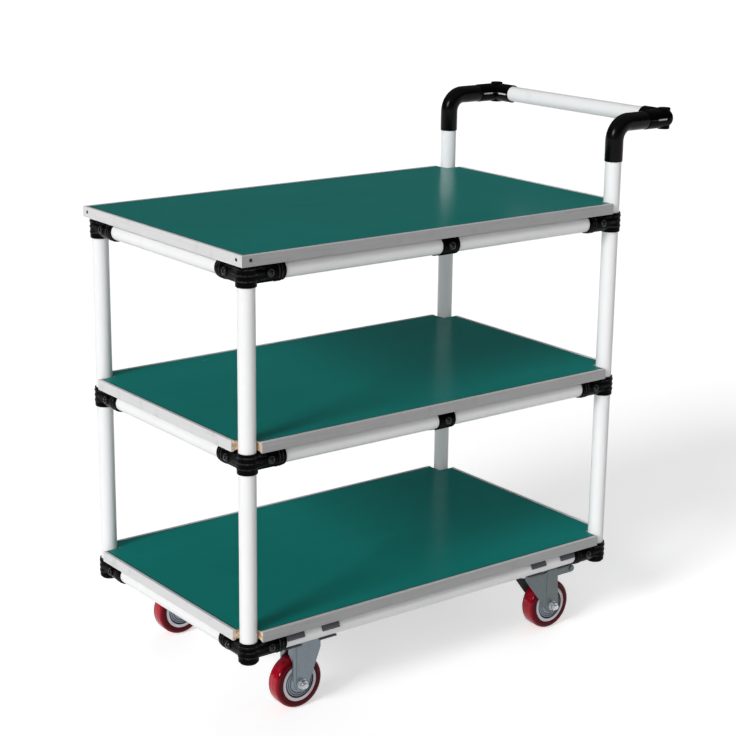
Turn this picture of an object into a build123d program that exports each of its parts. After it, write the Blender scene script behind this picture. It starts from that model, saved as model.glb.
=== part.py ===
from build123d import *
import os

# Three-shelf utility cart of coated pipe and bolted clamps, in millimetres, +Z up.
# The front is -X, the push handle is at +X. The origin lies on the floor, under the middle of the whole cart.

# Layout of the frame
post_spacing_x = 750.0
post_spacing_y = 440.0
lower_shelf_pitch = 311.0
upper_shelf_pitch = 292.0

# Coated steel pipe and the caps in its open ends
pipe_diameter = 28.0
pipe_wall = 1.8
cap_rim = 3.0
cap_plug_length = 12.0
cap_plug_clearance = 0.1
cap_fillet = 1.2

# Shelf boards, mats and aluminium edge channel
board_thickness = 15.0
mat_thickness = 1.2
mat_gap = 0.5
trim_wall = 1.5
trim_lip = 6.0
shelf_overhang = 20.0
notch_clearance = 0.5
mitre_gap = 0.2

# Small screws through the edge channel at the front corners of the top shelf
screw_radius = 1.5
screw_head_radius = 2.8
screw_head_height = 1.3
screw_length = 10.0
screw_drop = 8.0
screw_inset = 15.0
screw_clearance = 0.1

# Pressed steel clamps
clamp_clearance = 0.1
clamp_sheet = 2.4
clamp_flat = 0.2
clamp_seam = 2.0
clamp_arm = 62.5
inner_half_extra = 1.0
hub_lip = 2.5
hub_trim_gap = 0.3
hub_rib_pitch = 9.0
rim_fillet = 1.0
rib_height = 0.8
rib_width = 2.4
rib_pitch = 6.0
rib_inset = 6.0
rib_count = 2
rail_end_clear = 8.0
tee_offset_x = 8.0
tee_width = 34.0
tee_lip = 8.0

# Clamp bolts and nuts
bolt_radius = 3.0
bolt_clearance = 0.2
bolt_offset = 33.0
bolt_head_radius = 5.6
bolt_head_height = 3.0
bolt_head_fillet = 1.4
bolt_socket_width = 4.0
bolt_socket_depth = 1.8
bolt_boss_radius = 7.6
bolt_boss_height = 0.3
bolt_tail = 1.5
nut_width = 10.0
nut_height = 5.0
nut_clearance = 0.05

# Push handle
handle_rise = 134.0
handle_clamp_arm = 47.0
handle_end_gap = 2.0
handle_seam = 0.6
handle_boss_radius = 11.0
handle_boss_height = 1.8
handle_pocket_clearance = 0.4
handle_nut_height = 3.5
handle_bolt_tail = 0.5
handle_slot_length = 23.0
handle_slot_height = 3.2
handle_slot_gap = 5.0
elbow_wall = 1.5
elbow_step = 0.7
elbow_leg = 35.0
elbow_arm = 39.5
elbow_bend_radius = 30.0
elbow_socket_clearance = 0.1
elbow_socket_depth = 26.0
elbow_clamp_gap = 0.5

# Caster brackets on the bottom side rails
bracket_bolt_edge = 7.0
bracket_clear = 0.5
bracket_lap = 8.0
bracket_bend = 2.0
bracket_bolt_inset = 2.0
finger_width = 33.5
finger_hook = 2.0

# Caster plates and forks
caster_plate_length = 116.0
caster_plate_width = 60.0
caster_sheet = 3.0
caster_bolt_edge_x = 14.0
caster_bolt_edge_y = 8.0
caster_nut_height = 4.5
caster_bolt_tail = 1.0
fork_headroom = 36.0
cheek_end_radius = 14.0
cheek_bolt_gap = 1.2
rigid_cheek_front = 16.0
rigid_cheek_shoulder = 22.0
flange_depth = 13.0
flange_lip = 2.0
flange_wheel_gap = 6.0
flange_foot = 12.0

# Swivel bearing of the two casters at the handle end
swivel_trail = 32.0
swivel_cheek_front = 34.0
swivel_cheek_rear = 42.0
swivel_cheek_shoulder = 6.0
lug_reach = 82.0
lug_height = 13.0
lug_drop = 1.5
lug_pin_radius = 3.0
lug_pin_head_radius = 5.0
lug_pin_head_height = 2.0
race_radius = 27.0
race_boss = 5.0
race_gap = 3.2
ball_radius = 3.0
ball_circle = 20.0
ball_count = 16
ball_seat_clearance = 0.05
ball_running_clearance = 0.3
crown_thickness = 4.0
kingpin_radius = 6.0
kingpin_head_radius = 10.0
kingpin_head_height = 4.0
kingpin_head_gap = 0.4
kingpin_running_clearance = 0.08
kingpin_press_clearance = 0.02

# Wheels and axles
wheel_diameter = 90.0
tyre_width = 30.0
tyre_thickness = 12.0
tyre_shoulder = 7.0
tyre_bond_gap = 0.02
core_recess = 1.0
core_rim = 5.0
core_web = 12.0
core_disc_radius = 23.5
core_hub_radius = 15.0
core_bore_clearance = 1.5
hub_stand = 2.0
wheel_side_gap = 0.5
bearing_radius = 11.0
bearing_width = 7.0
bearing_press_clearance = 0.02
axle_radius = 4.0
axle_running_clearance = 0.05
axle_hole_clearance = 0.1
axle_head_width = 13.0
axle_head_height = 5.5
axle_nut_height = 6.5
axle_tail = 6.0

# Worked out from the sizes above
pipe_radius = pipe_diameter / 2
pipe_bore = pipe_radius - pipe_wall
clamp_bore = pipe_radius + clamp_clearance
clamp_radius = clamp_bore + clamp_sheet
shelf_seat = clamp_radius - clamp_flat
hub_drop = clamp_radius + hub_lip
hub_top = shelf_seat - trim_wall - hub_trim_gap
rail_end_gap = bolt_offset + rail_end_clear
bolt_face = clamp_radius + bolt_boss_height
bolt_hole = bolt_radius + bolt_clearance
trim_height = board_thickness + 2 * trim_wall
notch_reach = pipe_radius + notch_clearance
elbow_socket = pipe_radius + elbow_socket_clearance
elbow_radius = elbow_socket + elbow_wall
elbow_throat = pipe_bore - elbow_step
handle_reach = elbow_bend_radius + elbow_arm + elbow_clamp_gap + handle_clamp_arm
handle_pipe_gap = pipe_radius + handle_end_gap
handle_stub_gap = bolt_radius + handle_end_gap
handle_boss_face = clamp_radius + handle_boss_height
handle_head_seat = handle_boss_face - bolt_head_height
handle_nut_seat = handle_boss_face - handle_nut_height - handle_bolt_tail
handle_slot_outer = handle_slot_gap + handle_slot_length / 2
handle_slot_inner = clamp_radius + handle_slot_outer
bracket_sheet = shelf_seat - clamp_bore
caster_bolt_spacing_x = caster_plate_length - 2 * caster_bolt_edge_x
caster_bolt_spacing_y = caster_plate_width - 2 * caster_bolt_edge_y
bracket_length = caster_bolt_spacing_x + 2 * bracket_bolt_edge
finger_spacing = bracket_length - finger_width
caster_inset_x = clamp_arm + inner_half_extra + bracket_clear + bracket_length / 2
caster_inset_y = pipe_radius + bracket_bolt_inset + caster_bolt_spacing_y / 2
bracket_depth = 2 * caster_inset_y
nut_corner_radius = nut_width / 3**0.5
handle_pocket = nut_corner_radius + handle_pocket_clearance
rigid_cheek_rear = caster_bolt_spacing_x / 2 - nut_corner_radius - cheek_bolt_gap
wheel_radius = wheel_diameter / 2
core_radius = wheel_radius - tyre_thickness
core_width = tyre_width - 2 * core_recess
hub_length = tyre_width + 2 * hub_stand
fork_gap = hub_length + 2 * wheel_side_gap

# Positions of the main axes
cart_length = shelf_overhang + post_spacing_x + handle_reach + clamp_radius
front_x = shelf_overhang - cart_length / 2
rear_x = front_x + post_spacing_x
side_y = post_spacing_y / 2
handle_x = rear_x + handle_reach
tee_x = (front_x + rear_x) / 2 + tee_offset_x
front_caster_x = front_x + caster_inset_x
rear_caster_x = rear_x - caster_inset_x
caster_y = side_y - caster_inset_y
side_signs = {"left": -1, "right": 1}

# Heights: the wheels carry the bottom ring of rails, and the shelves stand above it
caster_top = wheel_diameter + fork_headroom
bottom_shelf_height = caster_top + 2 * shelf_seat + trim_height - trim_wall
middle_shelf_height = bottom_shelf_height + lower_shelf_pitch
top_shelf_height = middle_shelf_height + upper_shelf_pitch
handle_height = top_shelf_height + handle_rise
elbow_bottom = handle_height - elbow_bend_radius - elbow_leg
shelf_heights = {"bottom": bottom_shelf_height, "middle": middle_shelf_height, "top": top_shelf_height}


def board_underside(level):
    """Height of a board's underside, which rests on the flats of the clamps."""
    return shelf_heights[level] - trim_height + trim_wall


def rail_axis(level):
    """Height of the pipe axes in the ring of rails under a shelf."""
    return board_underside(level) - shelf_seat


os.makedirs("parts", exist_ok=True)


def save(name, part):
    """Labels a finished piece and writes its STEP file."""
    part.label = name
    export_step(part, f"parts/{name}.step")


def place(part, *locations):
    """Copies of a piece, at one or more locations, as one group of separate solids."""
    with BuildPart() as group:
        with Locations(*locations):
            add(part)
    return group.part


def pipe(start, direction, length):
    """A straight coated pipe from a start point along a direction."""
    with BuildPart() as tube:
        with BuildSketch(Plane(origin=start, z_dir=direction)):
            Circle(pipe_radius)
            Circle(pipe_bore, mode=Mode.SUBTRACT)
        extrude(amount=length)
    return tube.part


def corner_locations(height):
    """The four post axes at a height, turned so that +X and +Y point along the rails."""
    corners = [(front_x, -side_y), (rear_x, -side_y), (rear_x, side_y), (front_x, side_y)]
    return [Location((x, y, height), (0, 0, 90 * turn)) for turn, (x, y) in enumerate(corners)]


# Posts: the front pair ends under the top board, the rear pair runs up into the handle elbows
post_foot = rail_axis("bottom") - hub_drop
front_post_top = rail_axis("top") + hub_top - cap_rim
rear_post_top = elbow_bottom + elbow_socket_depth
for side, sign in side_signs.items():
    for end, x, top in (("front", front_x, front_post_top), ("rear", rear_x, rear_post_top)):
        save(f"post_{end}_{side}", pipe((x, sign * side_y, post_foot), (0, 0, 1), top - post_foot))


def side_rail(level, sign):
    """A long rail under a shelf, cross-drilled for the tee clamp's bolt where it carries one."""
    start = (front_x + rail_end_gap, sign * side_y, rail_axis(level))
    with BuildPart() as rail:
        add(pipe(start, (1, 0, 0), post_spacing_x - 2 * rail_end_gap))
        if level != "bottom":
            with Locations((tee_x, sign * side_y, rail_axis(level))):
                Cylinder(bolt_hole, 2 * pipe_diameter, rotation=(90, 0, 0), mode=Mode.SUBTRACT)
    return rail.part


# Rails: a ring of four under each shelf, and a cross rail between the tee clamps of the upper two
end_rail_length = post_spacing_y - 2 * rail_end_gap
for level in shelf_heights:
    height = rail_axis(level)
    for side, sign in side_signs.items():
        save(f"side_rail_{level}_{side}", side_rail(level, sign))
    end_rail = pipe((0, -end_rail_length / 2, height), (0, 1, 0), end_rail_length)
    save(f"end_rails_{level}", place(end_rail, (front_x, 0, 0), (rear_x, 0, 0)))
    if level != "bottom":
        save(f"cross_rail_{level}", pipe((tee_x, -end_rail_length / 2, height), (0, 1, 0), end_rail_length))


def end_cap():
    """A pipe end cap with its rim above z = 0 and its plug below."""
    with BuildPart() as cap:
        Cylinder(pipe_radius, cap_rim, align=(Align.CENTER, Align.CENTER, Align.MIN))
        fillet(cap.faces().sort_by(Axis.Z)[-1].edges(), cap_fillet)
        plug_radius = pipe_bore - cap_plug_clearance
        Cylinder(plug_radius, cap_plug_length, align=(Align.CENTER, Align.CENTER, Align.MAX))
    return cap.part


# Caps: in the feet of all posts and in the tops of the front pair
post_feet = [Location((x, y, post_foot), (180, 0, 0)) for x in (front_x, rear_x) for y in (-side_y, side_y)]
front_tops = [Location((front_x, y, front_post_top)) for y in (-side_y, side_y)]
save("end_caps", place(end_cap(), *post_feet, *front_tops))


def corner_clamp_half(inner):
    """Half of a corner clamp: post along Z, rails along +X and +Y, the inner half between the rails."""
    arm_length = clamp_arm + (inner_half_extra if inner else 0)
    with BuildPart() as half:
        with BuildSketch(Plane.XY.offset(-hub_drop)):
            Circle(clamp_radius)
        extrude(amount=hub_drop + hub_top)
        for arm in (Plane.YZ, Plane.ZX):
            with BuildSketch(arm):
                Circle(clamp_radius)
            extrude(amount=arm_length)
        arm_ends = [half.faces().sort_by(axis)[-1] for axis in (Axis.X, Axis.Y)]
        hub_foot = half.faces().sort_by(Axis.Z)[0]
        fillet([*arm_ends[0].edges(), *arm_ends[1].edges(), *hub_foot.edges()], rim_fillet)
        for arm in (Plane.YZ, Plane.ZX):
            for rib in range(rib_count):
                with BuildSketch(arm.offset(arm_length - rib_inset - rib * rib_pitch)):
                    Circle(clamp_radius + rib_height)
                extrude(amount=-rib_width)
        for rib in (-1, 0, 1):
            with Locations((0, 0, rib * hub_rib_pitch)):
                Cylinder(clamp_radius + rib_height, rib_width)
        with Locations((bolt_offset, 0, 0)):
            Cylinder(bolt_boss_radius, 2 * bolt_face, rotation=(90, 0, 0))
        with Locations((0, bolt_offset, 0)):
            Cylinder(bolt_boss_radius, 2 * bolt_face, rotation=(0, 90, 0))
        with BuildSketch(Plane.XY.offset(shelf_seat)):
            Rectangle(4 * arm_length, 4 * arm_length)
        extrude(amount=clamp_radius, mode=Mode.SUBTRACT)
        Cylinder(clamp_bore, 4 * hub_drop, mode=Mode.SUBTRACT)
        for arm in (Plane.YZ, Plane.ZX):
            with BuildSketch(arm):
                Circle(clamp_bore)
            extrude(amount=arm_length, mode=Mode.SUBTRACT)
        with Locations((bolt_offset, 0, 0)):
            Cylinder(bolt_hole, 4 * bolt_face, rotation=(90, 0, 0), mode=Mode.SUBTRACT)
        with Locations((0, bolt_offset, 0)):
            Cylinder(bolt_hole, 4 * bolt_face, rotation=(0, 90, 0), mode=Mode.SUBTRACT)
        seam_edge = clamp_seam / 2 if inner else -clamp_seam / 2
        with Locations((seam_edge, seam_edge, 0)):
            Box(
                2 * arm_length,
                2 * arm_length,
                4 * hub_drop,
                align=(Align.MIN, Align.MIN, Align.CENTER),
                mode=Mode.INTERSECT if inner else Mode.SUBTRACT,
            )
    return half.part


def tee_saddle():
    """The outer half of a tee clamp: a half shell on the -Y side of a rail along X."""
    with BuildPart() as saddle:
        with BuildSketch(Plane.YZ.offset(-tee_width / 2)):
            Circle(clamp_radius)
        extrude(amount=tee_width)
        fillet(saddle.edges().filter_by(GeomType.CIRCLE), rim_fillet)
        Cylinder(bolt_boss_radius, 2 * bolt_face, rotation=(90, 0, 0))
        with BuildSketch(Plane.YZ.offset(-tee_width / 2)):
            Circle(clamp_bore)
        extrude(amount=tee_width, mode=Mode.SUBTRACT)
        Cylinder(bolt_hole, 4 * bolt_face, rotation=(90, 0, 0), mode=Mode.SUBTRACT)
        with Locations((0, -clamp_seam / 2, 0)):
            Box(
                2 * tee_width,
                2 * bolt_face,
                4 * clamp_radius,
                align=(Align.CENTER, Align.MAX, Align.CENTER),
                mode=Mode.INTERSECT,
            )
        with BuildSketch(Plane.XY.offset(shelf_seat)):
            Rectangle(2 * tee_width, 4 * clamp_radius)
        extrude(amount=clamp_radius, mode=Mode.SUBTRACT)
    return saddle.part


def tee_socket():
    """The inner half of a tee clamp: a half shell on the +Y side with a socket for the cross rail."""
    shell_width = tee_width + 2 * tee_lip
    with BuildPart() as socket:
        with BuildSketch(Plane.YZ.offset(-shell_width / 2)):
            Circle(clamp_radius)
        extrude(amount=shell_width)
        with BuildSketch(Plane.ZX):
            Circle(clamp_radius)
        extrude(amount=clamp_arm)
        fillet(socket.faces().sort_by(Axis.Y)[-1].edges(), rim_fillet)
        with BuildSketch(Plane.ZX.offset(clamp_radius)):
            Circle(clamp_bore)
        extrude(amount=clamp_arm, mode=Mode.SUBTRACT)
        with BuildSketch(Plane.YZ.offset(-shell_width / 2)):
            Circle(clamp_bore)
        extrude(amount=shell_width, mode=Mode.SUBTRACT)
        Cylinder(bolt_hole, 4 * clamp_radius, rotation=(90, 0, 0), mode=Mode.SUBTRACT)
        with Locations((0, clamp_seam / 2, 0)):
            Box(
                2 * shell_width,
                2 * clamp_arm,
                4 * clamp_radius,
                align=(Align.CENTER, Align.MIN, Align.CENTER),
                mode=Mode.INTERSECT,
            )
        with BuildSketch(Plane.XY.offset(shelf_seat)):
            Rectangle(4 * shell_width, 4 * clamp_arm)
        extrude(amount=clamp_radius, mode=Mode.SUBTRACT)
    return socket.part


# Clamps: one at every corner of every shelf, and tee clamps part way along the upper side rails
outer_half = corner_clamp_half(inner=False)
inner_half = corner_clamp_half(inner=True)
for level in shelf_heights:
    with BuildPart() as corner_clamps:
        with Locations(*corner_locations(rail_axis(level))):
            add(outer_half)
            add(inner_half)
    save(f"corner_clamps_{level}", corner_clamps.part)

tee_levels = ("middle", "top")
tee_locations = [
    Location((tee_x, sign * side_y, rail_axis(level)), (0, 0, 0 if sign < 0 else 180))
    for level in tee_levels
    for sign in side_signs.values()
]
saddle_half = tee_saddle()
socket_half = tee_socket()
with BuildPart() as tee_clamps:
    with Locations(*tee_locations):
        add(saddle_half)
        add(socket_half)
save("tee_clamps", tee_clamps.part)


def socket_bolt(length):
    """A domed socket bolt: head above z = 0, shank of the given length below."""
    with BuildPart() as bolt:
        Cylinder(bolt_head_radius, bolt_head_height, align=(Align.CENTER, Align.CENTER, Align.MIN))
        fillet(bolt.faces().sort_by(Axis.Z)[-1].edges(), bolt_head_fillet)
        with BuildSketch(Plane.XY.offset(bolt_head_height)):
            RegularPolygon(bolt_socket_width / 2, 6, major_radius=False)
        extrude(amount=-bolt_socket_depth, mode=Mode.SUBTRACT)
        Cylinder(bolt_radius, length, align=(Align.CENTER, Align.CENTER, Align.MAX))
    return bolt.part


def hex_nut(width, height, thread_radius):
    """A hexagon nut standing on z = 0."""
    with BuildPart() as nut:
        with BuildSketch():
            RegularPolygon(width / 2, 6, major_radius=False)
            Circle(thread_radius + nut_clearance, mode=Mode.SUBTRACT)
        extrude(amount=height)
    return nut.part


def bolt_with_nut(grip, nut_height_here, tail):
    """A socket bolt with its nut below the clamped stack, which fills z = -grip to 0."""
    with BuildPart() as pair:
        add(socket_bolt(grip + nut_height_here + tail))
        with Locations((0, 0, -grip - nut_height_here)):
            add(hex_nut(nut_width, nut_height_here, bolt_radius))
    return pair.part


# Clamp bolts: two through each corner clamp, one through each tee clamp, one through each handle clamp
arm_bolt = bolt_with_nut(2 * bolt_face, nut_height, bolt_tail)
tee_bolt = bolt_with_nut(bolt_face + clamp_radius, nut_height, bolt_tail)
handle_bolt = bolt_with_nut(handle_head_seat + handle_nut_seat, handle_nut_height, handle_bolt_tail)
arm_bolt_locations = [
    Location((bolt_offset, -bolt_face, 0), (90, 0, 0)),
    Location((-bolt_face, bolt_offset, 0), (0, -90, 0)),
]
handle_corners = [Location((handle_x, sign * side_y, handle_height)) for sign in side_signs.values()]
with BuildPart() as clamp_bolts:
    for level in shelf_heights:
        with Locations(*corner_locations(rail_axis(level))):
            with Locations(*arm_bolt_locations):
                add(arm_bolt)
    with Locations(*tee_locations):
        with Locations(Location((0, -bolt_face, 0), (90, 0, 0))):
            add(tee_bolt)
    with Locations(*handle_corners):
        with Locations((0, 0, handle_head_seat)):
            add(handle_bolt)
save("clamp_bolts", clamp_bolts.part)


# Shelves: a board inside the edge channel, and a mat on it between the channel's lips
shelf_front = front_x - shelf_overhang
shelf_rear = rear_x + shelf_overhang
shelf_side = side_y + shelf_overhang
shelf_length = shelf_rear - shelf_front
notch = shelf_overhang + notch_reach


def notched_corners(level):
    """The corners of a shelf that are notched round a post: the front posts end under the top shelf."""
    ends = (shelf_rear,) if level == "top" else (shelf_front, shelf_rear)
    return [(x, sign * shelf_side) for x in ends for sign in side_signs.values()]


def shelf_layer(level, base, thickness, edge_inset):
    """A sheet of a shelf's outline, set in from its edges and notched round the posts."""
    with BuildPart() as layer:
        with BuildSketch(Plane.XY.offset(base)):
            with Locations(((shelf_front + shelf_rear) / 2, 0)):
                Rectangle(shelf_length - 2 * edge_inset, 2 * (shelf_side - edge_inset))
            with Locations(*notched_corners(level)):
                Rectangle(2 * notch, 2 * notch, mode=Mode.SUBTRACT)
        extrude(amount=thickness)
    return layer.part


def shelf_board(level):
    """A board that fills its edge channel, drilled at the top shelf for the channel's screws."""
    with BuildPart() as board:
        add(shelf_layer(level, board_underside(level), board_thickness, trim_wall))
        if level == "top":
            with Locations(*screw_locations):
                Cylinder(screw_radius + screw_clearance, 2 * screw_length, mode=Mode.SUBTRACT)
    return board.part


def trim_length(level, start_notched, end_notched, full_length, lip_span):
    """A channel length along +X from x = 0, open towards +Y, cut square at a notch and mitred elsewhere."""
    start = notch if start_notched else mitre_gap / 2
    end = full_length - (notch if end_notched else mitre_gap / 2)
    start_slope = 0 if start_notched else lip_span
    end_slope = 0 if end_notched else lip_span
    top = shelf_heights[level]
    with BuildPart() as trim:
        with BuildSketch(Plane.XY.offset(top - trim_height)):
            with BuildLine():
                inner_start = (start + start_slope, lip_span)
                inner_end = (end - end_slope, lip_span)
                Polyline((start, 0), (end, 0), inner_end, inner_start, close=True)
            make_face()
        extrude(amount=trim_height)
        with Locations((full_length / 2, trim_wall, top - trim_height / 2)):
            Box(
                2 * full_length,
                2 * lip_span,
                trim_height - 2 * trim_wall,
                align=(Align.CENTER, Align.MIN, Align.CENTER),
                mode=Mode.SUBTRACT,
            )
    return trim.part


# Edge channel: four lengths round each shelf, held at the front corners of the top by small screws
screw_height = top_shelf_height - screw_drop
screw_locations = [
    location
    for sign in side_signs.values()
    for location in (
        Location((shelf_front + screw_inset, sign * shelf_side, screw_height), (-90 * sign, 0, 0)),
        Location((shelf_front, sign * (shelf_side - screw_inset), screw_height), (0, -90, 0)),
    )
]
for level in shelf_heights:
    front_notched = level != "top"
    long_trim = trim_length(level, front_notched, True, shelf_length, trim_lip)
    mirrored_trim = trim_length(level, True, front_notched, shelf_length, trim_lip)
    front_trim = trim_length(level, front_notched, front_notched, 2 * shelf_side, trim_lip)
    rear_trim = trim_length(level, True, True, 2 * shelf_side, trim_lip)
    with BuildPart() as edge_trim:
        with Locations((shelf_front, -shelf_side, 0)):
            add(long_trim)
        with Locations(Location((shelf_rear, shelf_side, 0), (0, 0, 180))):
            add(mirrored_trim)
        with Locations(Location((shelf_front, shelf_side, 0), (0, 0, -90))):
            add(front_trim)
        with Locations(Location((shelf_rear, -shelf_side, 0), (0, 0, 90))):
            add(rear_trim)
        if level == "top":
            with Locations(*screw_locations):
                Cylinder(screw_radius + screw_clearance, 2 * screw_length, mode=Mode.SUBTRACT)
                Cone(
                    screw_radius,
                    screw_head_radius,
                    screw_head_height,
                    align=(Align.CENTER, Align.CENTER, Align.MAX),
                    mode=Mode.SUBTRACT,
                )
    save(f"edge_trim_{level}", edge_trim.part)
    save(f"board_{level}", shelf_board(level))
    board_top = board_underside(level) + board_thickness
    save(f"mat_{level}", shelf_layer(level, board_top, mat_thickness, trim_lip + mat_gap))

with BuildPart() as trim_screw:
    head_align = (Align.CENTER, Align.CENTER, Align.MAX)
    Cone(screw_radius, screw_head_radius, screw_head_height, align=head_align)
    Cylinder(screw_radius, screw_length, align=(Align.CENTER, Align.CENTER, Align.MAX))
save("trim_screws", place(trim_screw.part, *screw_locations))


def handle_elbow():
    """A black elbow: its leg stands on the origin and takes the post, its arm points along +X."""
    arm_height = elbow_leg + elbow_bend_radius
    arm_end = elbow_bend_radius + elbow_arm
    with BuildPart() as elbow:
        with BuildLine(Plane.XZ) as route:
            Line((0, 0), (0, elbow_leg))
            JernArc((0, elbow_leg), (0, 1), elbow_bend_radius, -90)
            Line((elbow_bend_radius, arm_height), (arm_end, arm_height))
        with BuildSketch(Plane.XY):
            Circle(elbow_radius)
            Circle(elbow_throat, mode=Mode.SUBTRACT)
        sweep(path=route.line)
        ends = [elbow.faces().sort_by(Axis.Z)[0], elbow.faces().sort_by(Axis.X)[-1]]
        fillet([end.edges().sort_by(SortBy.LENGTH)[-1] for end in ends], elbow_wall / 2)
        with BuildSketch(Plane.XY):
            Circle(elbow_socket)
        extrude(amount=elbow_socket_depth, mode=Mode.SUBTRACT)
        with BuildSketch(Plane.YZ.offset(arm_end)):
            with Locations((0, arm_height)):
                Circle(elbow_socket)
        extrude(amount=-elbow_socket_depth, mode=Mode.SUBTRACT)
    return elbow.part


def handle_clamp_half(upper):
    """Half of a handle clamp: corner at the origin, one slotted arm along -X and one along -Y, parted at z = 0."""
    with BuildPart() as boss:
        Cylinder(handle_boss_radius, 2 * handle_boss_face)
        fillet(boss.edges().filter_by(GeomType.CIRCLE), rim_fillet)
    with BuildPart() as half:
        Sphere(clamp_radius)
        for arm in (Plane.YZ, Plane.ZX):
            with BuildSketch(arm):
                Circle(clamp_radius)
            extrude(amount=-handle_clamp_arm)
        add(boss.part)
        for arm in (Plane.YZ, Plane.ZX):
            with BuildSketch(arm):
                Circle(clamp_bore)
            extrude(amount=-handle_clamp_arm, mode=Mode.SUBTRACT)
        Cylinder(bolt_hole, 4 * handle_boss_face, mode=Mode.SUBTRACT)
        for seat, side in ((handle_head_seat, Align.MIN), (-handle_nut_seat, Align.MAX)):
            with Locations((0, 0, seat)):
                Cylinder(handle_pocket, handle_boss_face, align=(Align.CENTER, Align.CENTER, side), mode=Mode.SUBTRACT)
        slot_depth = 3 * clamp_sheet
        with Locations((-handle_slot_outer, clamp_radius, 0), (-handle_slot_inner, -clamp_radius, 0)):
            Box(handle_slot_length, slot_depth, handle_slot_height, mode=Mode.SUBTRACT)
        with Locations((clamp_radius, -handle_slot_outer, 0), (-clamp_radius, -handle_slot_inner, 0)):
            Box(slot_depth, handle_slot_length, handle_slot_height, mode=Mode.SUBTRACT)
        with Locations((0, 0, handle_seam / 2 if upper else -handle_seam / 2)):
            Box(
                4 * handle_clamp_arm,
                4 * handle_clamp_arm,
                2 * handle_boss_face,
                align=(Align.CENTER, Align.CENTER, Align.MIN if upper else Align.MAX),
                mode=Mode.INTERSECT,
            )
    return half.part


# Push handle: an elbow on each rear post, a pipe stub into each clamp, and the bar between the clamps
elbow = handle_elbow()
for side, sign in side_signs.items():
    save(f"elbow_{side}", place(elbow, (rear_x, sign * side_y, elbow_bottom)))

stub_start = handle_x - handle_clamp_arm - elbow_clamp_gap - elbow_socket_depth
stub = pipe((stub_start, 0, handle_height), (1, 0, 0), handle_x - handle_stub_gap - stub_start)
save("handle_stubs", place(stub, (0, -side_y, 0), (0, side_y, 0)))

with BuildPart() as handle_clamps:
    with Locations((handle_x, side_y, handle_height)):
        add(handle_clamp_half(upper=True))
        add(handle_clamp_half(upper=False))
    mirror(about=Plane.XZ)
save("handle_clamps", handle_clamps.part)

bar_half = side_y - handle_pipe_gap
save("handle_bar", pipe((handle_x, -bar_half, handle_height), (0, 1, 0), 2 * bar_half))


def caster_bracket():
    """A bent steel bracket: the rail runs along X through the origin, the caster hangs below at +Y."""
    outer = clamp_bore + bracket_sheet
    with BuildPart() as bracket:
        with BuildSketch(Plane.YZ):
            with Locations((0, -outer)):
                Rectangle(bracket_depth, bracket_sheet, align=(Align.MIN, Align.MIN))
            with Locations((bracket_depth, -outer)):
                Rectangle(bracket_sheet, 2 * outer, align=(Align.MAX, Align.MIN))
        extrude(amount=bracket_length / 2, both=True)
        for finger_x in (-finger_spacing / 2, finger_spacing / 2):
            with BuildSketch(Plane.YZ.offset(finger_x)):
                Circle(outer)
                Circle(clamp_bore, mode=Mode.SUBTRACT)
                with Locations((0, finger_hook)):
                    Rectangle(outer, outer - finger_hook, align=(Align.MAX, Align.MIN), mode=Mode.INTERSECT)
                with Locations((0, clamp_bore)):
                    Rectangle(bracket_depth, bracket_sheet, align=(Align.MIN, Align.MIN))
                with Locations((0, -outer)):
                    Rectangle(bracket_lap, bracket_sheet, align=(Align.MAX, Align.MIN))
            extrude(amount=finger_width / 2, both=True)
        foot_bend = bracket.edges().filter_by(Axis.X).group_by(Axis.Z)[0].sort_by(Axis.Y)[-1]
        fillet(foot_bend, bracket_bend)
        with Locations((0, caster_inset_y, -outer)):
            with GridLocations(caster_bolt_spacing_x, caster_bolt_spacing_y, 2, 2):
                Cylinder(bolt_hole, 4 * bracket_sheet, mode=Mode.SUBTRACT)
    return bracket.part


# Caster brackets: one near each end of the two bottom side rails
bracket_locations = [
    Location((x, sign * side_y, rail_axis("bottom")), (0, 0, 0 if sign < 0 else 180))
    for x in (front_caster_x, rear_caster_x)
    for sign in side_signs.values()
]
save("caster_brackets", place(caster_bracket(), *bracket_locations))

caster_axes = (front_caster_x, rear_caster_x)
caster_locations = [(x, sign * caster_y, 0) for x in caster_axes for sign in side_signs.values()]
caster_bolt = bolt_with_nut(bracket_sheet + caster_sheet, caster_nut_height, caster_bolt_tail)
with BuildPart() as bracket_bolts:
    with Locations(*caster_locations):
        with Locations((0, 0, caster_top + bracket_sheet)):
            with GridLocations(caster_bolt_spacing_x, caster_bolt_spacing_y, 2, 2):
                add(caster_bolt)
save("bracket_bolts", bracket_bolts.part)


def caster_plate():
    """A drilled caster top plate, its upper face at the brackets' underside."""
    with BuildPart() as plate:
        with BuildSketch(Plane.XY.offset(caster_top)):
            RectangleRounded(caster_plate_length, caster_plate_width, caster_sheet)
            with GridLocations(caster_bolt_spacing_x, caster_bolt_spacing_y, 2, 2):
                Circle(bolt_hole, mode=Mode.SUBTRACT)
        extrude(amount=-caster_sheet)
    return plate.part


def fork_cheek(top, front, rear, front_drop, rear_drop, axle_x):
    """One cheek of a fork, on the -Y side of the wheel: straight edges at the top, tapering to the axle hole."""
    with BuildPart() as cheek:
        with BuildSketch(Plane.XZ.offset(fork_gap / 2)):
            with BuildLine():
                Polyline((front, top), (rear, top), (rear, top - rear_drop), (front, top - front_drop), close=True)
            make_face()
            with Locations((axle_x, wheel_radius)):
                Circle(cheek_end_radius)
            make_hull()
            with Locations((axle_x, wheel_radius)):
                Circle(axle_radius + axle_hole_clearance, mode=Mode.SUBTRACT)
        extrude(amount=caster_sheet)
    return cheek.part


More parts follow.
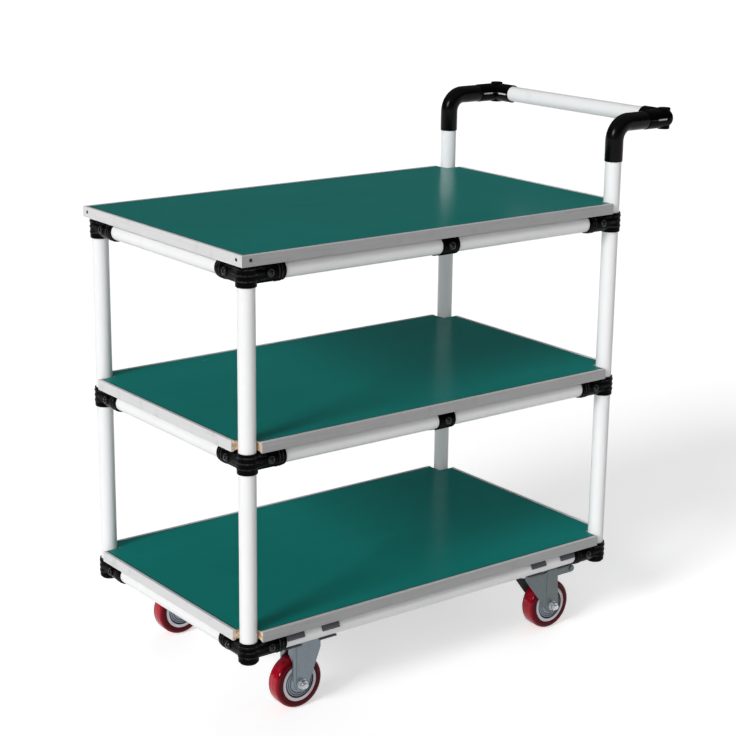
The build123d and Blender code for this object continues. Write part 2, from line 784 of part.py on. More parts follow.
def rigid_fork():
    """A front fork, welded into one: top plate, and two cheeks with their front edges folded in over the tyre."""
    top = caster_top - caster_sheet
    front_drop = top - wheel_radius - flange_foot
    cheek_face = -fork_gap / 2
    fold_foot = wheel_diameter + flange_wheel_gap
    lip_top = fold_foot - flange_depth + flange_lip
    lip_foot = wheel_radius + flange_foot
    with BuildPart() as fork:
        add(fork_cheek(top, -rigid_cheek_front, rigid_cheek_rear, front_drop, rigid_cheek_shoulder, 0))
        with BuildSketch(Plane.YZ.offset(-rigid_cheek_front)):
            with BuildLine():
                Polyline(
                    (cheek_face, top),
                    (cheek_face + flange_depth, top),
                    (cheek_face + flange_depth, fold_foot),
                    (cheek_face + flange_lip, lip_top),
                    (cheek_face + flange_lip, lip_foot),
                    (cheek_face, lip_foot),
                    close=True,
                )
            make_face()
        extrude(amount=caster_sheet)
        mirror(about=Plane.XZ)
        add(caster_plate())
    return fork.part


# Swivel bearing heights, from the top plate down
race_foot = caster_top - caster_sheet - race_boss
crown_top = race_foot - race_gap
ball_height = (race_foot + crown_top) / 2


def swivel_plate():
    """A rear top plate with the pressed boss and ball groove of the swivel bearing."""
    with BuildPart() as plate:
        add(caster_plate())
        with Locations((0, 0, race_foot)):
            Cylinder(race_radius, race_boss, align=(Align.CENTER, Align.CENTER, Align.MIN))
        with Locations((0, 0, ball_height)):
            Torus(ball_circle, ball_radius + ball_seat_clearance, mode=Mode.SUBTRACT)
        with Locations((0, 0, caster_top)):
            Cylinder(kingpin_radius + kingpin_press_clearance, 4 * race_boss, mode=Mode.SUBTRACT)
    return plate.part


def kingpin():
    """The pin of a swivel: flush with the top plate, headed under the fork's crown."""
    head_top = crown_top - crown_thickness - kingpin_head_gap
    with BuildPart() as pin:
        with BuildSketch(Plane.XY.offset(head_top)):
            Circle(kingpin_radius)
        extrude(amount=caster_top - head_top)
        with BuildSketch(Plane.XY.offset(head_top)):
            Circle(kingpin_head_radius)
        extrude(amount=-kingpin_head_height)
    return pin.part


def swivel_fork():
    """A rear fork: round crown with the lower ball groove, two cheeks that trail towards +X, and a lug on each."""
    lug_axis = crown_top - lug_drop - lug_height / 2
    pin_x = lug_reach - lug_height / 2
    pin_end = fork_gap / 2 + caster_sheet + lug_pin_head_height
    with BuildPart() as fork:
        shoulder = swivel_cheek_shoulder
        add(fork_cheek(crown_top, -swivel_cheek_front, swivel_cheek_rear, shoulder, shoulder, swivel_trail))
        with BuildSketch(Plane.XZ.offset(fork_gap / 2)):
            with Locations(((swivel_trail + lug_reach) / 2, lug_axis)):
                SlotOverall(lug_reach - swivel_trail, lug_height)
        extrude(amount=caster_sheet)
        with BuildSketch(Plane.XZ.offset(pin_end)):
            with Locations((pin_x, lug_axis)):
                Circle(lug_pin_head_radius)
        extrude(amount=-lug_pin_head_height)
        with BuildSketch(Plane.XZ.offset(pin_end)):
            with Locations((pin_x, lug_axis)):
                Circle(lug_pin_radius)
        extrude(amount=-pin_end)
        mirror(about=Plane.XZ)
        with BuildSketch(Plane.XY.offset(crown_top)):
            Circle(race_radius)
            Rectangle(2 * race_radius, fork_gap)
        extrude(amount=-crown_thickness)
        with Locations((0, 0, ball_height)):
            Torus(ball_circle, ball_radius + ball_running_clearance, mode=Mode.SUBTRACT)
        with Locations((0, 0, crown_top)):
            Cylinder(kingpin_radius + kingpin_running_clearance, 4 * crown_thickness, mode=Mode.SUBTRACT)
    return fork.part


def axle_bolt():
    """A wheel's axle bolt along Y, with its head on the +Y cheek and its nut and thread end at -Y."""
    cheek_face = fork_gap / 2 + caster_sheet
    with BuildPart() as axle:
        with BuildSketch(Plane.XZ.offset(-cheek_face)):
            RegularPolygon(axle_head_width / 2, 6, major_radius=False)
        extrude(amount=-axle_head_height)
        with BuildSketch(Plane.XZ.offset(-cheek_face)):
            Circle(axle_radius)
        extrude(amount=2 * cheek_face + axle_nut_height + axle_tail)
        nut = hex_nut(axle_head_width, axle_nut_height, axle_radius)
        with Locations(Location((0, -cheek_face, 0), (90, 0, 0))):
            add(nut)
    return axle.part


def wheel_tyre():
    """A polyurethane tyre about the Y axis, with rounded shoulders."""
    with BuildPart() as tyre:
        with BuildSketch(Plane.XY) as profile:
            with Locations((wheel_radius, 0)):
                Rectangle(tyre_thickness - tyre_bond_gap, tyre_width, align=(Align.MAX, Align.CENTER))
            fillet(profile.vertices().group_by(Axis.X)[-1], tyre_shoulder)
        revolve(axis=Axis.Y)
    return tyre.part


def wheel_core():
    """The wheel's core about the Y axis: rim, grooved web, disc, and hub with a bearing pocket in each end."""
    core_bore = axle_radius + core_bore_clearance
    pocket = bearing_radius + bearing_press_clearance
    with BuildPart() as core:
        with BuildSketch(Plane.XY):
            with Locations((core_radius, 0)):
                Rectangle(core_rim, core_width, align=(Align.MAX, Align.CENTER))
                Rectangle(core_radius - core_bore, core_web, align=(Align.MAX, Align.CENTER))
            with Locations((core_bore, 0)):
                Rectangle(core_disc_radius - core_bore, core_width, align=(Align.MIN, Align.CENTER))
                Rectangle(core_hub_radius - core_bore, hub_length, align=(Align.MIN, Align.CENTER))
            with Locations((0, hub_length / 2)):
                Rectangle(pocket, bearing_width, align=(Align.MIN, Align.MAX), mode=Mode.SUBTRACT)
            with Locations((0, -hub_length / 2)):
                Rectangle(pocket, bearing_width, align=(Align.MIN, Align.MIN), mode=Mode.SUBTRACT)
        revolve(axis=Axis.Y)
    return core.part


def wheel_bearings():
    """The pair of ball bearings in a wheel's hub, about the Y axis."""
    with BuildPart() as bearings:
        with BuildSketch(Plane.XZ.offset(hub_length / 2)):
            Circle(bearing_radius)
            Circle(axle_radius + axle_running_clearance, mode=Mode.SUBTRACT)
        extrude(amount=-bearing_width)
        mirror(about=Plane.XZ)
    return bearings.part


# Front casters: forks that point straight on
rigid_axles = [(front_caster_x, sign * caster_y, wheel_radius) for sign in side_signs.values()]
swivel_axles = [(rear_caster_x + swivel_trail, sign * caster_y, wheel_radius) for sign in side_signs.values()]
kingpin_axes = [(rear_caster_x, sign * caster_y, 0) for sign in side_signs.values()]
front_fork = rigid_fork()
axle = axle_bolt()
for side, sign in side_signs.items():
    save(f"rigid_fork_{side}", place(front_fork, (front_caster_x, sign * caster_y, 0)))
save("rigid_axles", place(axle, *rigid_axles))

# Rear casters: a plate, a kingpin and a ring of balls that stay with the cart, and a fork that turns
save("swivel_plates", place(swivel_plate(), *kingpin_axes))
save("kingpins", place(kingpin(), *kingpin_axes))
with BuildPart() as swivel_balls:
    with Locations(*kingpin_axes):
        with Locations((0, 0, ball_height)):
            with PolarLocations(ball_circle, ball_count):
                Sphere(ball_radius)
save("swivel_balls", swivel_balls.part)
rear_fork = swivel_fork()
for side, sign in side_signs.items():
    save(f"swivel_fork_{side}", place(rear_fork, (rear_caster_x, sign * caster_y, 0)))
    save(f"swivel_axle_{side}", place(axle, (rear_caster_x + swivel_trail, sign * caster_y, wheel_radius)))

# Wheels: four alike, each a tyre on a core with two bearings
tyre = wheel_tyre()
core = wheel_core()
bearings = wheel_bearings()
for end, axles in (("front", rigid_axles), ("rear", swivel_axles)):
    for side, wheel_centre in zip(side_signs, axles):
        save(f"tyre_{end}_{side}", place(tyre, wheel_centre))
        save(f"wheel_core_{end}_{side}", place(core, wheel_centre))
        save(f"wheel_bearings_{end}_{side}", place(bearings, wheel_centre))
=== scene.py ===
import itertools
import math

import bmesh
import bpy
from mathutils import Matrix, Vector


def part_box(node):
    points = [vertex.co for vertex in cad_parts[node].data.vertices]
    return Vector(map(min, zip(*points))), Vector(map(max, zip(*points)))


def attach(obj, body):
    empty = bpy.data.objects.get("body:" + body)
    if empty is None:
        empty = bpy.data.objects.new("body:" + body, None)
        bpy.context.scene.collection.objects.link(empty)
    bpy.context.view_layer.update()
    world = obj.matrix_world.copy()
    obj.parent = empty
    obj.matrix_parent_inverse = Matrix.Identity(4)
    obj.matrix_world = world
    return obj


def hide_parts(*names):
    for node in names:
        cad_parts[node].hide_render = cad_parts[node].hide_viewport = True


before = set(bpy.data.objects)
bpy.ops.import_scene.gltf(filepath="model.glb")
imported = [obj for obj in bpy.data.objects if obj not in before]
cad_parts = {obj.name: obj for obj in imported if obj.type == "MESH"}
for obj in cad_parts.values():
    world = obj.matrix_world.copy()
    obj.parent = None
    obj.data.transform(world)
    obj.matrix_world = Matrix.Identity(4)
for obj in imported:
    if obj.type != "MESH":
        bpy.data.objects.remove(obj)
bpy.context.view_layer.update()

# Coated pipes: thin steel pipe drawn with a smooth white plastic coat, cut square to length.
# Four posts, a ring of rails under each shelf, two cross rails, the push bar and its stubs;
# nothing is welded, the bolted clamps grip every end.
pipe_radius = 0.014
pipe_wall = 0.0018
pipe_end_round = 0.0004
pipe_steps = 64
widest_single_pipe = 3 * pipe_radius
crease_angle = math.radians(35)


def pick(sockets, key):
    """A node's socket by its place, its identifier or its name."""
    if isinstance(key, int):
        return sockets[key]
    return next(socket for socket in sockets if key in (socket.identifier, socket.name))


class Signal:
    """A node socket that takes part in sums: each operation adds a Math node to its board."""

    def __init__(self, board, socket):
        self.board = board
        self.socket = socket

    def math(self, operation, first, second):
        return self.board.node("ShaderNodeMath", {"operation": operation}, {0: first, 1: second})

    def __add__(self, other):
        return self.math("ADD", self, other)

    def __radd__(self, other):
        return self.math("ADD", other, self)

    def __sub__(self, other):
        return self.math("SUBTRACT", self, other)

    def __rsub__(self, other):
        return self.math("SUBTRACT", other, self)

    def __mul__(self, other):
        return self.math("MULTIPLY", self, other)

    def __rmul__(self, other):
        return self.math("MULTIPLY", other, self)

    def __truediv__(self, other):
        return self.math("DIVIDE", self, other)

    def __neg__(self):
        return self.math("MULTIPLY", self, -1)

    def __abs__(self):
        return self.board.node("ShaderNodeMath", {"operation": "ABSOLUTE"}, {0: self})


class NodeBoard:
    """A node tree with one way of adding nodes, and short names for the commonest."""

    def __init__(self, tree):
        self.tree = tree

    def node(self, kind, settings=None, sockets=None, output=0):
        """Adds a node, its settings first and then its sockets' values or links, and returns one output."""
        node = self.tree.nodes.new(kind)
        for key, value in (settings or {}).items():
            if key == "stops":
                ramp = node.color_ramp.elements
                for place, colour in value[1:-1]:
                    ramp.new(place)
                for element, (place, colour) in zip(ramp, value):
                    element.position = place
                    element.color = (*colour, 1)
            else:
                setattr(node, key, value)
        for key, value in (sockets or {}).items():
            self.feed(pick(node.inputs, key), value)
        return Signal(self, pick(node.outputs, output))

    def feed(self, socket, value):
        """Gives a socket a value, a link, or the several links of a joining socket."""
        if isinstance(value, Signal):
            self.tree.links.new(value.socket, socket)
        elif isinstance(value, list):
            for signal in value:
                self.tree.links.new(signal.socket, socket)
        else:
            socket.default_value = value

    def part(self, vector, axis):
        """One part of a vector: X, Y or Z."""
        return self.node("ShaderNodeSeparateXYZ", {}, {0: vector}, axis)

    def between(self, value, low, high):
        """A value's place between two limits, held from 0 to 1."""
        limits = {"Value": value, "From Min": low, "From Max": high}
        return self.node("ShaderNodeMapRange", {"clamp": True}, limits)

    def blend(self, share, first, second):
        """One colour turning into another as the share goes from 0 to 1."""
        mix_settings = {"data_type": "RGBA", "clamp_factor": True}
        colours = {
            key: value if isinstance(value, Signal) else (*value, 1)
            for key, value in (("A_Color", first), ("B_Color", second))
        }
        return self.node("ShaderNodeMix", mix_settings, {"Factor_Float": share, **colours}, "Result_Color")


class Finish(NodeBoard):
    """A surface finish: what is the same all over sits on the shader's sockets, what varies is linked in."""

    def __init__(self, name, constants):
        self.material = bpy.data.materials.new(name)
        self.material.use_nodes = True
        super().__init__(self.material.node_tree)
        self.shader = self.tree.nodes["Principled BSDF"]
        for key, value in constants.items():
            self.shader.inputs[key].default_value = value

    def vary(self, key, value):
        self.feed(self.shader.inputs[key], value)

    def where(self):
        return self.node("ShaderNodeTexCoord", output="Object")

    def noise(self, scale, stretch=(1, 1, 1), detail=2.0, place=None):
        """Noise from 0 to 1 on the object's own coordinates, drawn out along axes with a small stretch."""
        spread = self.node("ShaderNodeMapping", {}, {"Vector": place or self.where(), "Scale": stretch})
        return self.node("ShaderNodeTexNoise", {}, {"Vector": spread, "Scale": scale, "Detail": detail})

    def mark(self, name):
        """A number from 0 to 1 that is marked on the mesh."""
        return self.node("ShaderNodeAttribute", {"attribute_name": name}, {}, "Fac")

    def relief(self, height, depth, strength=1.0):
        """Raises the surface by a height signal, at most by the given depth in metres."""
        raised = {"Height": height, "Distance": depth, "Strength": strength}
        self.vary("Normal", self.node("ShaderNodeBump", {}, raised))


def white_coat():
    """Smooth white plastic with faint draw lines, dulled in places by handling."""
    finish = Finish("white_coat", {"Specular IOR Level": 0.42, "IOR": 1.46})
    cloud = finish.noise(9, detail=3)
    draw_lines = finish.noise(60, (1, 1, 0.02), detail=3)
    handled = finish.between(finish.noise(22, detail=6), 0.66, 0.8)
    coat = finish.blend(cloud, (0.80, 0.802, 0.808), (0.845, 0.847, 0.85))
    finish.vary("Base Color", finish.blend(0.12 * handled, coat, (0.45, 0.44, 0.42)))
    finish.vary("Roughness", 0.27 + 0.07 * cloud + 0.12 * handled)
    finish.relief(finish.noise(420) + 0.6 * draw_lines, 0.00006, 0.5)
    return finish


def bridge(shell, lower, upper):
    """Skins two rings of as many points."""
    quads = zip(lower, lower[1:] + lower[:1], upper[1:] + upper[:1], upper)
    return [shell.faces.new(corners) for corners in quads]


def lathe(shell, profile, origin, axis, steps, paint=None):
    """Turns a closed profile of (radius, distance) points about an axis."""
    turned = Vector(axis).to_track_quat("Z", "Y").to_matrix()
    angles = [2 * math.pi * step / steps for step in range(steps)]
    rings = []
    for radius, distance in profile:
        points = [Vector((radius * math.cos(a), radius * math.sin(a), distance)) for a in angles]
        rings.append([shell.verts.new(Vector(origin) + turned @ point) for point in points])
    for index, (lower, upper) in enumerate(zip(rings, rings[1:] + rings[:1])):
        for face in bridge(shell, lower, upper):
            face.material_index = paint[index] if paint else 0


def ease(shell):
    """Turns every face outwards and shades it smooth, except across real creases."""
    bmesh.ops.recalc_face_normals(shell, faces=shell.faces)
    for face in shell.faces:
        face.smooth = True
    for edge in shell.edges:
        edge.smooth = len(edge.link_faces) == 2 and edge.calc_face_angle() < crease_angle


def add_object(name, data):
    """Adds an object to the scene."""
    added = bpy.data.objects.new(name, data)
    bpy.context.scene.collection.objects.link(added)
    return added


def make_piece(name, shell, *finishes):
    """Turns a shell into an object at the origin with its finishes."""
    ease(shell)
    mesh = bpy.data.meshes.new(name)
    shell.to_mesh(mesh)
    shell.free()
    for finish in finishes:
        mesh.materials.append(finish.material)
    return add_object(name, mesh)


def settle(piece, body, slot, *nodes):
    """Fixes a piece to its body and hides the CAD nodes that it stands for. Its slot is not used."""
    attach(piece, body)
    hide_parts(*nodes)


def middle(node):
    """The middle of a node's box."""
    low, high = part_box(node)
    return (low + high) / 2


def pipe_axes(node, along):
    """Start points and length of the one or two pipes in a node's box that run along one axis."""
    low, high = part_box(node)
    places = []
    for axis in range(3):
        if axis == along:
            places.append([low[axis]])
        elif high[axis] - low[axis] > widest_single_pipe:
            places.append([low[axis] + pipe_radius, high[axis] - pipe_radius])
        else:
            places.append([middle(node)[axis]])
    return list(itertools.product(*places)), high[along] - low[along]


pipe_directions = {
    "post": 2,
    "side_rail": 0,
    "end_rails": 1,
    "cross_rail": 1,
    "handle_bar": 1,
    "handle_stubs": 0,
}
pipe_coat = white_coat()
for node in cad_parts:
    for kind, along in pipe_directions.items():
        if not node.startswith(kind):
            continue
        starts, length = pipe_axes(node, along)
        bore = pipe_radius - pipe_wall
        rounded = pipe_radius - pipe_end_round
        pipe_profile = [
            (bore, 0),
            (rounded, 0),
            (pipe_radius, pipe_end_round),
            (pipe_radius, length - pipe_end_round),
            (rounded, length),
            (bore, length),
        ]
        pipe_axis = [1 if axis == along else 0 for axis in range(3)]
        shell = bmesh.new()
        for start in starts:
            lathe(shell, pipe_profile, start, pipe_axis, pipe_steps)
        settle(make_piece(f"{node}_coated", shell, pipe_coat), "frame", "white_pipe", node)

# Clamps: half shells pressed from sheet steel and painted black, with a ribbed hub and ribbed arm ends.
# Two halves close on the pipes at each corner, tee and handle corner, and a bolt draws them together.
merge_distance = 0.000002
flat_angle = math.radians(0.5)
edge_segments = 2
clamp_edge = 0.0003
handle_clamp_edge = 0.0007
clamp_radius = 0.0165
rib_height = 0.0008
rib_slack = rib_height / 8
hub_half_height = 0.0105
hub_reach = clamp_radius + 4 * rib_height
levels = ("bottom", "middle", "top")
rail_z = {level: middle(f"side_rail_{level}_left").z for level in levels}
post_front = middle("post_front_left")
post_rear = middle("post_rear_left")
side_y = -post_front.y


def dark_paint(name, dark, pale, worn, shine, gloss):
    """Paint that is worn pale in spots, with a painted highlight along the crests of ribs that are marked on
    the mesh.
    """
    finish = Finish(name, {"Specular IOR Level": gloss})
    cloud = finish.noise(35, detail=4)
    spots = finish.between(finish.noise(140, detail=5), 0.64, 0.78)
    # noise that breaks the crests' painted highlight into pieces
    crest_highlight_patches = finish.between(finish.noise(190, detail=4), 0.35, 0.65)
    # pale spots of wear, and a painted highlight on the marked crests
    wear_and_crest_highlight = 0.12 * spots + finish.mark("crest") * crest_highlight_patches
    paint = finish.blend(cloud, (dark, dark, 1.1 * dark), (pale, pale, 1.1 * pale))
    # the worn tone colours both the spots of wear and the painted highlight on the crests
    finish.vary("Base Color", finish.blend(wear_and_crest_highlight, paint, (worn, 1.03 * worn, 1.12 * worn)))
    finish.vary("Roughness", shine + 0.12 * cloud + 0.1 * spots)
    finish.relief(finish.noise(900, detail=3), 0.00005, 0.35)
    return finish


def mark_crests(shell):
    """Marks the points of a clamp that lie on the crest of a rib, round its post or round a rail."""
    crest = shell.verts.layers.float.new("crest")
    for vertex in shell.verts:
        along = min((vertex.co.x - post.x for post in (post_front, post_rear)), key=abs)
        across = abs(vertex.co.y) - side_y
        rise = min((vertex.co.z - height for height in rail_z.values()), key=abs)
        radii = [math.hypot(along, across)] if abs(rise) < hub_half_height else []
        if math.hypot(along, across) > hub_reach:
            radii += [math.hypot(across, rise), math.hypot(along, rise)]
        on_crest = any(abs(radius - clamp_radius - rib_height) < rib_slack for radius in radii)
        vertex[crest] = 1.0 if on_crest else 0.0


def settle_copy(node, name, edge, finish, slot, body="frame", shape=None):
    """Settles a copy of a CAD node, its flats joined, reshaped if asked, its corners rounded by a bevel."""
    shell = bmesh.new()
    shell.from_mesh(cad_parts[node].data)
    bmesh.ops.remove_doubles(shell, verts=shell.verts, dist=merge_distance)
    bmesh.ops.dissolve_limit(shell, angle_limit=flat_angle, verts=shell.verts[:], edges=shell.edges[:])
    if shape:
        shape(shell)
    piece = make_piece(name, shell, finish)
    if "custom_normal" in piece.data.attributes:
        piece.data.attributes.remove(piece.data.attributes["custom_normal"])
    if edge:
        bevel = piece.modifiers.new("eased corners", "BEVEL")
        bevel.width = edge
        bevel.segments = edge_segments
        bevel.limit_method = "ANGLE"
        bevel.angle_limit = crease_angle
        bevel.harden_normals = True
    settle(piece, body, slot, node)


clamp_paint = dark_paint("black_clamp_paint", 0.0008, 0.0018, 0.03, 0.16, 0.03)
for node in ("tee_clamps", "handle_clamps", *(f"corner_clamps_{level}" for level in levels)):
    edge = handle_clamp_edge if node == "handle_clamps" else clamp_edge
    settle_copy(node, f"{node}_painted", edge, clamp_paint, "black_clamp", shape=mark_crests)

# Clamp bolts: blackened steel with a domed socket head on a plain washer, and a hexagon nut behind.
# Each passes through both halves of a clamp, so that tightening it grips the pipes.
tee_x = middle("cross_rail_top").x
push_bar = middle("handle_bar")
washer_corners = 40
shank_corners = 24
hexagon_corners = 6
turning_ratio = 1.07
ball_segments, ball_rings = 32, 24
helix_points, ridge_points = 20, 4
bolt_seat = 0.0168
bolt_offset = 0.033
bolt_sizes = {
    "Head radius": 0.0056,
    "Head height": 0.0030,
    "Socket width": 0.0040,
    "Socket depth": 0.0018,
    "Washer radius": 0.0064,
    "Washer thickness": 0.0006,
    "Shank radius": 0.0029,
    "Nut radius": 0.0057,
    "Nut height": 0.0050,
    "Tail": 0.0015,
    "Thread depth": 0.0003,
    "Thread pitch": 0.0010,
}


class Former(NodeBoard):
    """A geometry tree with named sizes. It is run once on a set of seats and leaves a plain mesh."""

    def __init__(self, name, sizes):
        super().__init__(bpy.data.node_groups.new(name, "GeometryNodeTree"))
        self.keys = {}
        inputs = [("Seats", "NodeSocketGeometry"), ("Finish", "NodeSocketMaterial")]
        inputs += [(size, "NodeSocketFloat") for size in sizes]
        for label, kind in inputs:
            socket = self.tree.interface.new_socket(label, in_out="INPUT", socket_type=kind)
            self.keys[label] = socket.identifier
        self.tree.interface.new_socket("Pieces", in_out="OUTPUT", socket_type="NodeSocketGeometry")
        self.inlet = self.tree.nodes.new("NodeGroupInput")

    def size(self, label):
        return Signal(self, pick(self.inlet.outputs, label))

    def at_height(self, geometry, height, scale=(1, 1, 1)):
        """Moves a form along its own axis."""
        lift = self.node("ShaderNodeCombineXYZ", {}, {"Z": height})
        moved = {"Geometry": geometry, "Translation": lift, "Scale": scale}
        return self.node("GeometryNodeTransform", {}, moved)

    def rod(self, corners, radius, foot, height):
        """A round or many-sided rod that stands on a height."""
        blank = {"Vertices": corners, "Radius": radius, "Depth": height}
        return self.at_height(self.node("GeometryNodeMeshCylinder", {}, blank, "Mesh"), foot + height / 2)

    def ball(self, radius):
        """A finely divided ball."""
        blank = {"Segments": ball_segments, "Rings": ball_rings, "Radius": radius}
        return self.node("GeometryNodeMeshUVSphere", {}, blank, "Mesh")

    def hexagon(self, radius, foot, height):
        """A hexagon with its corners turned off at both faces."""
        turned = self.at_height(self.ball(turning_ratio * radius), foot + height / 2)
        pair = [self.rod(hexagon_corners, radius, foot, height), turned]
        return self.node("GeometryNodeMeshBoolean", {"operation": "INTERSECT"}, {1: pair})

    def thread(self, radius, foot, height):
        """A helical thread wound on a rod."""
        turns = {
            "Resolution": helix_points,
            "Rotations": height / self.size("Thread pitch"),
            "Start Radius": radius,
            "End Radius": radius,
            "Height": height,
        }
        helix = self.node("GeometryNodeCurveSpiral", {}, turns)
        ridge = {"Resolution": ridge_points, "Radius": self.size("Thread depth")}
        section = self.node("GeometryNodeCurvePrimitiveCircle", {}, ridge)
        wound = {"Curve": helix, "Profile Curve": section, "Fill Caps": True}
        return self.at_height(self.node("GeometryNodeCurveToMesh", {}, wound), foot)

    def seat_all(self, *forms):
        """Sets the joined forms on every seat, facing its way, and ends the tree."""
        joined = self.node("GeometryNodeJoinGeometry", {}, {"Geometry": list(forms)})
        vector = {"data_type": "FLOAT_VECTOR"}
        facing = self.node("GeometryNodeInputNamedAttribute", vector, {"Name": "facing"})
        turn = self.node("FunctionNodeAlignRotationToVector", {"axis": "Z"}, {"Vector": facing})
        seats = {"Points": self.size("Seats"), "Instance": joined, "Rotation": turn}
        placed = self.node("GeometryNodeInstanceOnPoints", {}, seats)
        real = self.node("GeometryNodeRealizeInstances", {}, {"Geometry": placed})
        coated = self.node("GeometryNodeSetMaterial", {}, {"Geometry": real, "Material": self.size("Finish")})
        self.feed(self.tree.nodes.new("NodeGroupOutput").inputs[0], coated)

    def run(self, name, seats, sizes, finish):
        """Makes the piece: a seat is a point and the way that its head faces."""
        points = bpy.data.meshes.new(f"{name}_seats")
        points.from_pydata([point for point, way in seats], [], [])
        facing = points.attributes.new("facing", "FLOAT_VECTOR", "POINT")
        for entry, (point, way) in zip(facing.data, seats):
            entry.vector = way
        piece = add_object(name, points)
        modifier = piece.modifiers.new("formed", "NODES")
        modifier.node_group = self.tree
        for label, value in sizes.items():
            modifier[self.keys[label]] = value
        modifier[self.keys["Finish"]] = finish.material
        formed = piece.evaluated_get(bpy.context.evaluated_depsgraph_get())
        mesh = bpy.data.meshes.new_from_object(formed)
        piece.modifiers.remove(modifier)
        piece.data = mesh
        shell = bmesh.new()
        shell.from_mesh(mesh)
        ease(shell)
        shell.to_mesh(mesh)
        shell.free()
        return piece


def bolt_former(name, sizes, hexagon_head):
    """A bolt whose head stands on its seat and whose grip, nut and thread end lie behind it."""
    former = Former(name, [*sizes, "Grip"])
    size = former.size
    washer = size("Washer thickness")
    shank_end = -(size("Grip") + washer + size("Nut height") + size("Tail"))
    if hexagon_head:
        head = former.hexagon(size("Head radius"), washer, size("Head height"))
    else:
        place = former.node("GeometryNodeInputPosition")
        raised = {axis: former.part(place, axis) for axis in "XYZ"}
        raised["Z"] = former.node("ShaderNodeMath", {"operation": "MAXIMUM"}, {0: raised["Z"], 1: 0.0})
        flat_foot = former.node("ShaderNodeCombineXYZ", {}, raised)
        half_ball = {"Geometry": former.ball(size("Head radius")), "Position": flat_foot}
        dome = former.node("GeometryNodeSetPosition", {}, half_ball)
        squat = {"X": 1, "Y": 1, "Z": size("Head height") / size("Head radius")}
        dome = former.at_height(dome, washer, former.node("ShaderNodeCombineXYZ", {}, squat))
        socket_foot = washer + size("Head height") - size("Socket depth")
        socket_radius = size("Socket width") / math.sqrt(3)
        key_hole = former.rod(hexagon_corners, socket_radius, socket_foot, 2 * size("Socket depth"))
        cut = {"Mesh 1": dome, "Mesh 2": [key_hole]}
        head = former.node("GeometryNodeMeshBoolean", {"operation": "DIFFERENCE"}, cut)
    former.seat_all(
        head,
        former.rod(washer_corners, size("Washer radius"), 0.0, washer),
        former.rod(shank_corners, size("Shank radius"), shank_end, -shank_end),
        former.rod(washer_corners, size("Washer radius"), -(size("Grip") + washer), washer),
        former.hexagon(size("Nut radius"), shank_end + size("Tail"), size("Nut height")),
        former.thread(size("Shank radius"), shank_end, size("Tail")),
    )
    return former


def clouded(name, constants, dark, pale, cloud, shine, grain):
    """A finish clouded between two tones, and rougher with the paler one.

    Cloud and grain are given by scale and detail, the grain by its depth too.
    """
    finish = Finish(name, constants)
    share = finish.noise(cloud[0], detail=cloud[1])
    finish.vary("Base Color", finish.blend(share, dark, pale))
    finish.vary("Roughness", shine[0] + shine[1] * share)
    finish.relief(finish.noise(grain[0], detail=grain[1]), grain[2], 0.3)
    return finish


oxide = clouded(
    "black_oxide", {"Metallic": 0.8, "Specular IOR Level": 0.4}, (0.016, 0.016, 0.018), (0.038, 0.039, 0.042),
    cloud=(300, 3), shine=(0.1, 0.1), grain=(300, 3, 0.00003),
)
socket_bolt = bolt_former("socket_bolt", bolt_sizes, hexagon_head=False)
arm_seats = []
for post, inward in ((post_front, 1), (post_rear, -1)):
    for side in (-1, 1):
        for level in levels:
            side_arm = (post.x + inward * bolt_offset, side * (side_y + bolt_seat), rail_z[level])
            end_arm = (post.x - inward * bolt_seat, side * (side_y - bolt_offset), rail_z[level])
            arm_seats += [(side_arm, (0, side, 0)), (end_arm, (-inward, 0, 0))]
tee_seats = [
    ((tee_x, side * (side_y + bolt_seat), rail_z[level]), (0, side, 0))
    for side in (-1, 1)
    for level in levels[1:]
]
arm_bolts = socket_bolt.run("arm_bolts", arm_seats, {**bolt_sizes, "Grip": 2 * bolt_seat}, oxide)
settle(arm_bolts, "frame", "zinc", "clamp_bolts")
tee_bolts = socket_bolt.run("tee_bolts", tee_seats, {**bolt_sizes, "Grip": bolt_seat + clamp_radius}, oxide)
settle(tee_bolts, "frame", "zinc")
handle_bolt_sizes = {
    **bolt_sizes,
    "Washer radius": 0.0055,
    "Washer thickness": 0.0002,
    "Nut height": 0.0032,
    "Tail": 0.0003,
    "Grip": 0.0296,
}
handle_head_seat = 0.0153
handle_seats = [((push_bar.x, side * side_y, push_bar.z + handle_head_seat), (0, 0, 1)) for side in (-1, 1)]
handle_bolts = socket_bolt.run("handle_bolts", handle_seats, handle_bolt_sizes, oxide)
settle(handle_bolts, "frame", "zinc")

# Shelf boards: pressed wood chip board, cut square with a notch round every post that passes it.
# Each rests on the flats of the clamps. Its cut edges show only in the notches, and a pale sheet backs it.
board_edge = 0.0004


def chip_board():
    """Pressed chips with fibres on the cut edges, and a plain pale backing on the marked underside."""
    finish = Finish("chip_board", {"Specular IOR Level": 0.25})
    chips = finish.node("ShaderNodeTexVoronoi", {}, {"Vector": finish.where(), "Scale": 260.0}, "Color")
    shade = finish.node("ShaderNodeSeparateColor", {}, {0: chips})
    fibre = finish.noise(240, (1, 1, 3), detail=6)
    wood = finish.blend(finish.between(shade, 0.15, 0.75), (0.27, 0.125, 0.055), (0.77, 0.58, 0.40))
    cut_edge = finish.blend(0.6 * fibre, wood, (0.83, 0.69, 0.53))
    backing = finish.blend(finish.noise(14, detail=4), (0.56, 0.555, 0.55), (0.64, 0.635, 0.63))
    finish.vary("Base Color", finish.blend(finish.mark("underside"), cut_edge, backing))
    finish.vary("Roughness", 0.62 + 0.2 * fibre)
    finish.relief(shade + fibre, 0.00025, 0.6)
    return finish


def mark_underside(shell):
    """Marks the lowest faces of a board."""
    underside = shell.faces.layers.float.new("underside")
    lowest = min(vertex.co.z for vertex in shell.verts)
    for face in shell.faces:
        face[underside] = 1.0 if face.calc_center_median().z - lowest < merge_distance else 0.0


board_finish = chip_board()
for level in levels:
    node = f"board_{level}"
    settle_copy(node, f"{node}_cut", board_edge, board_finish, "board", shape=mark_underside)

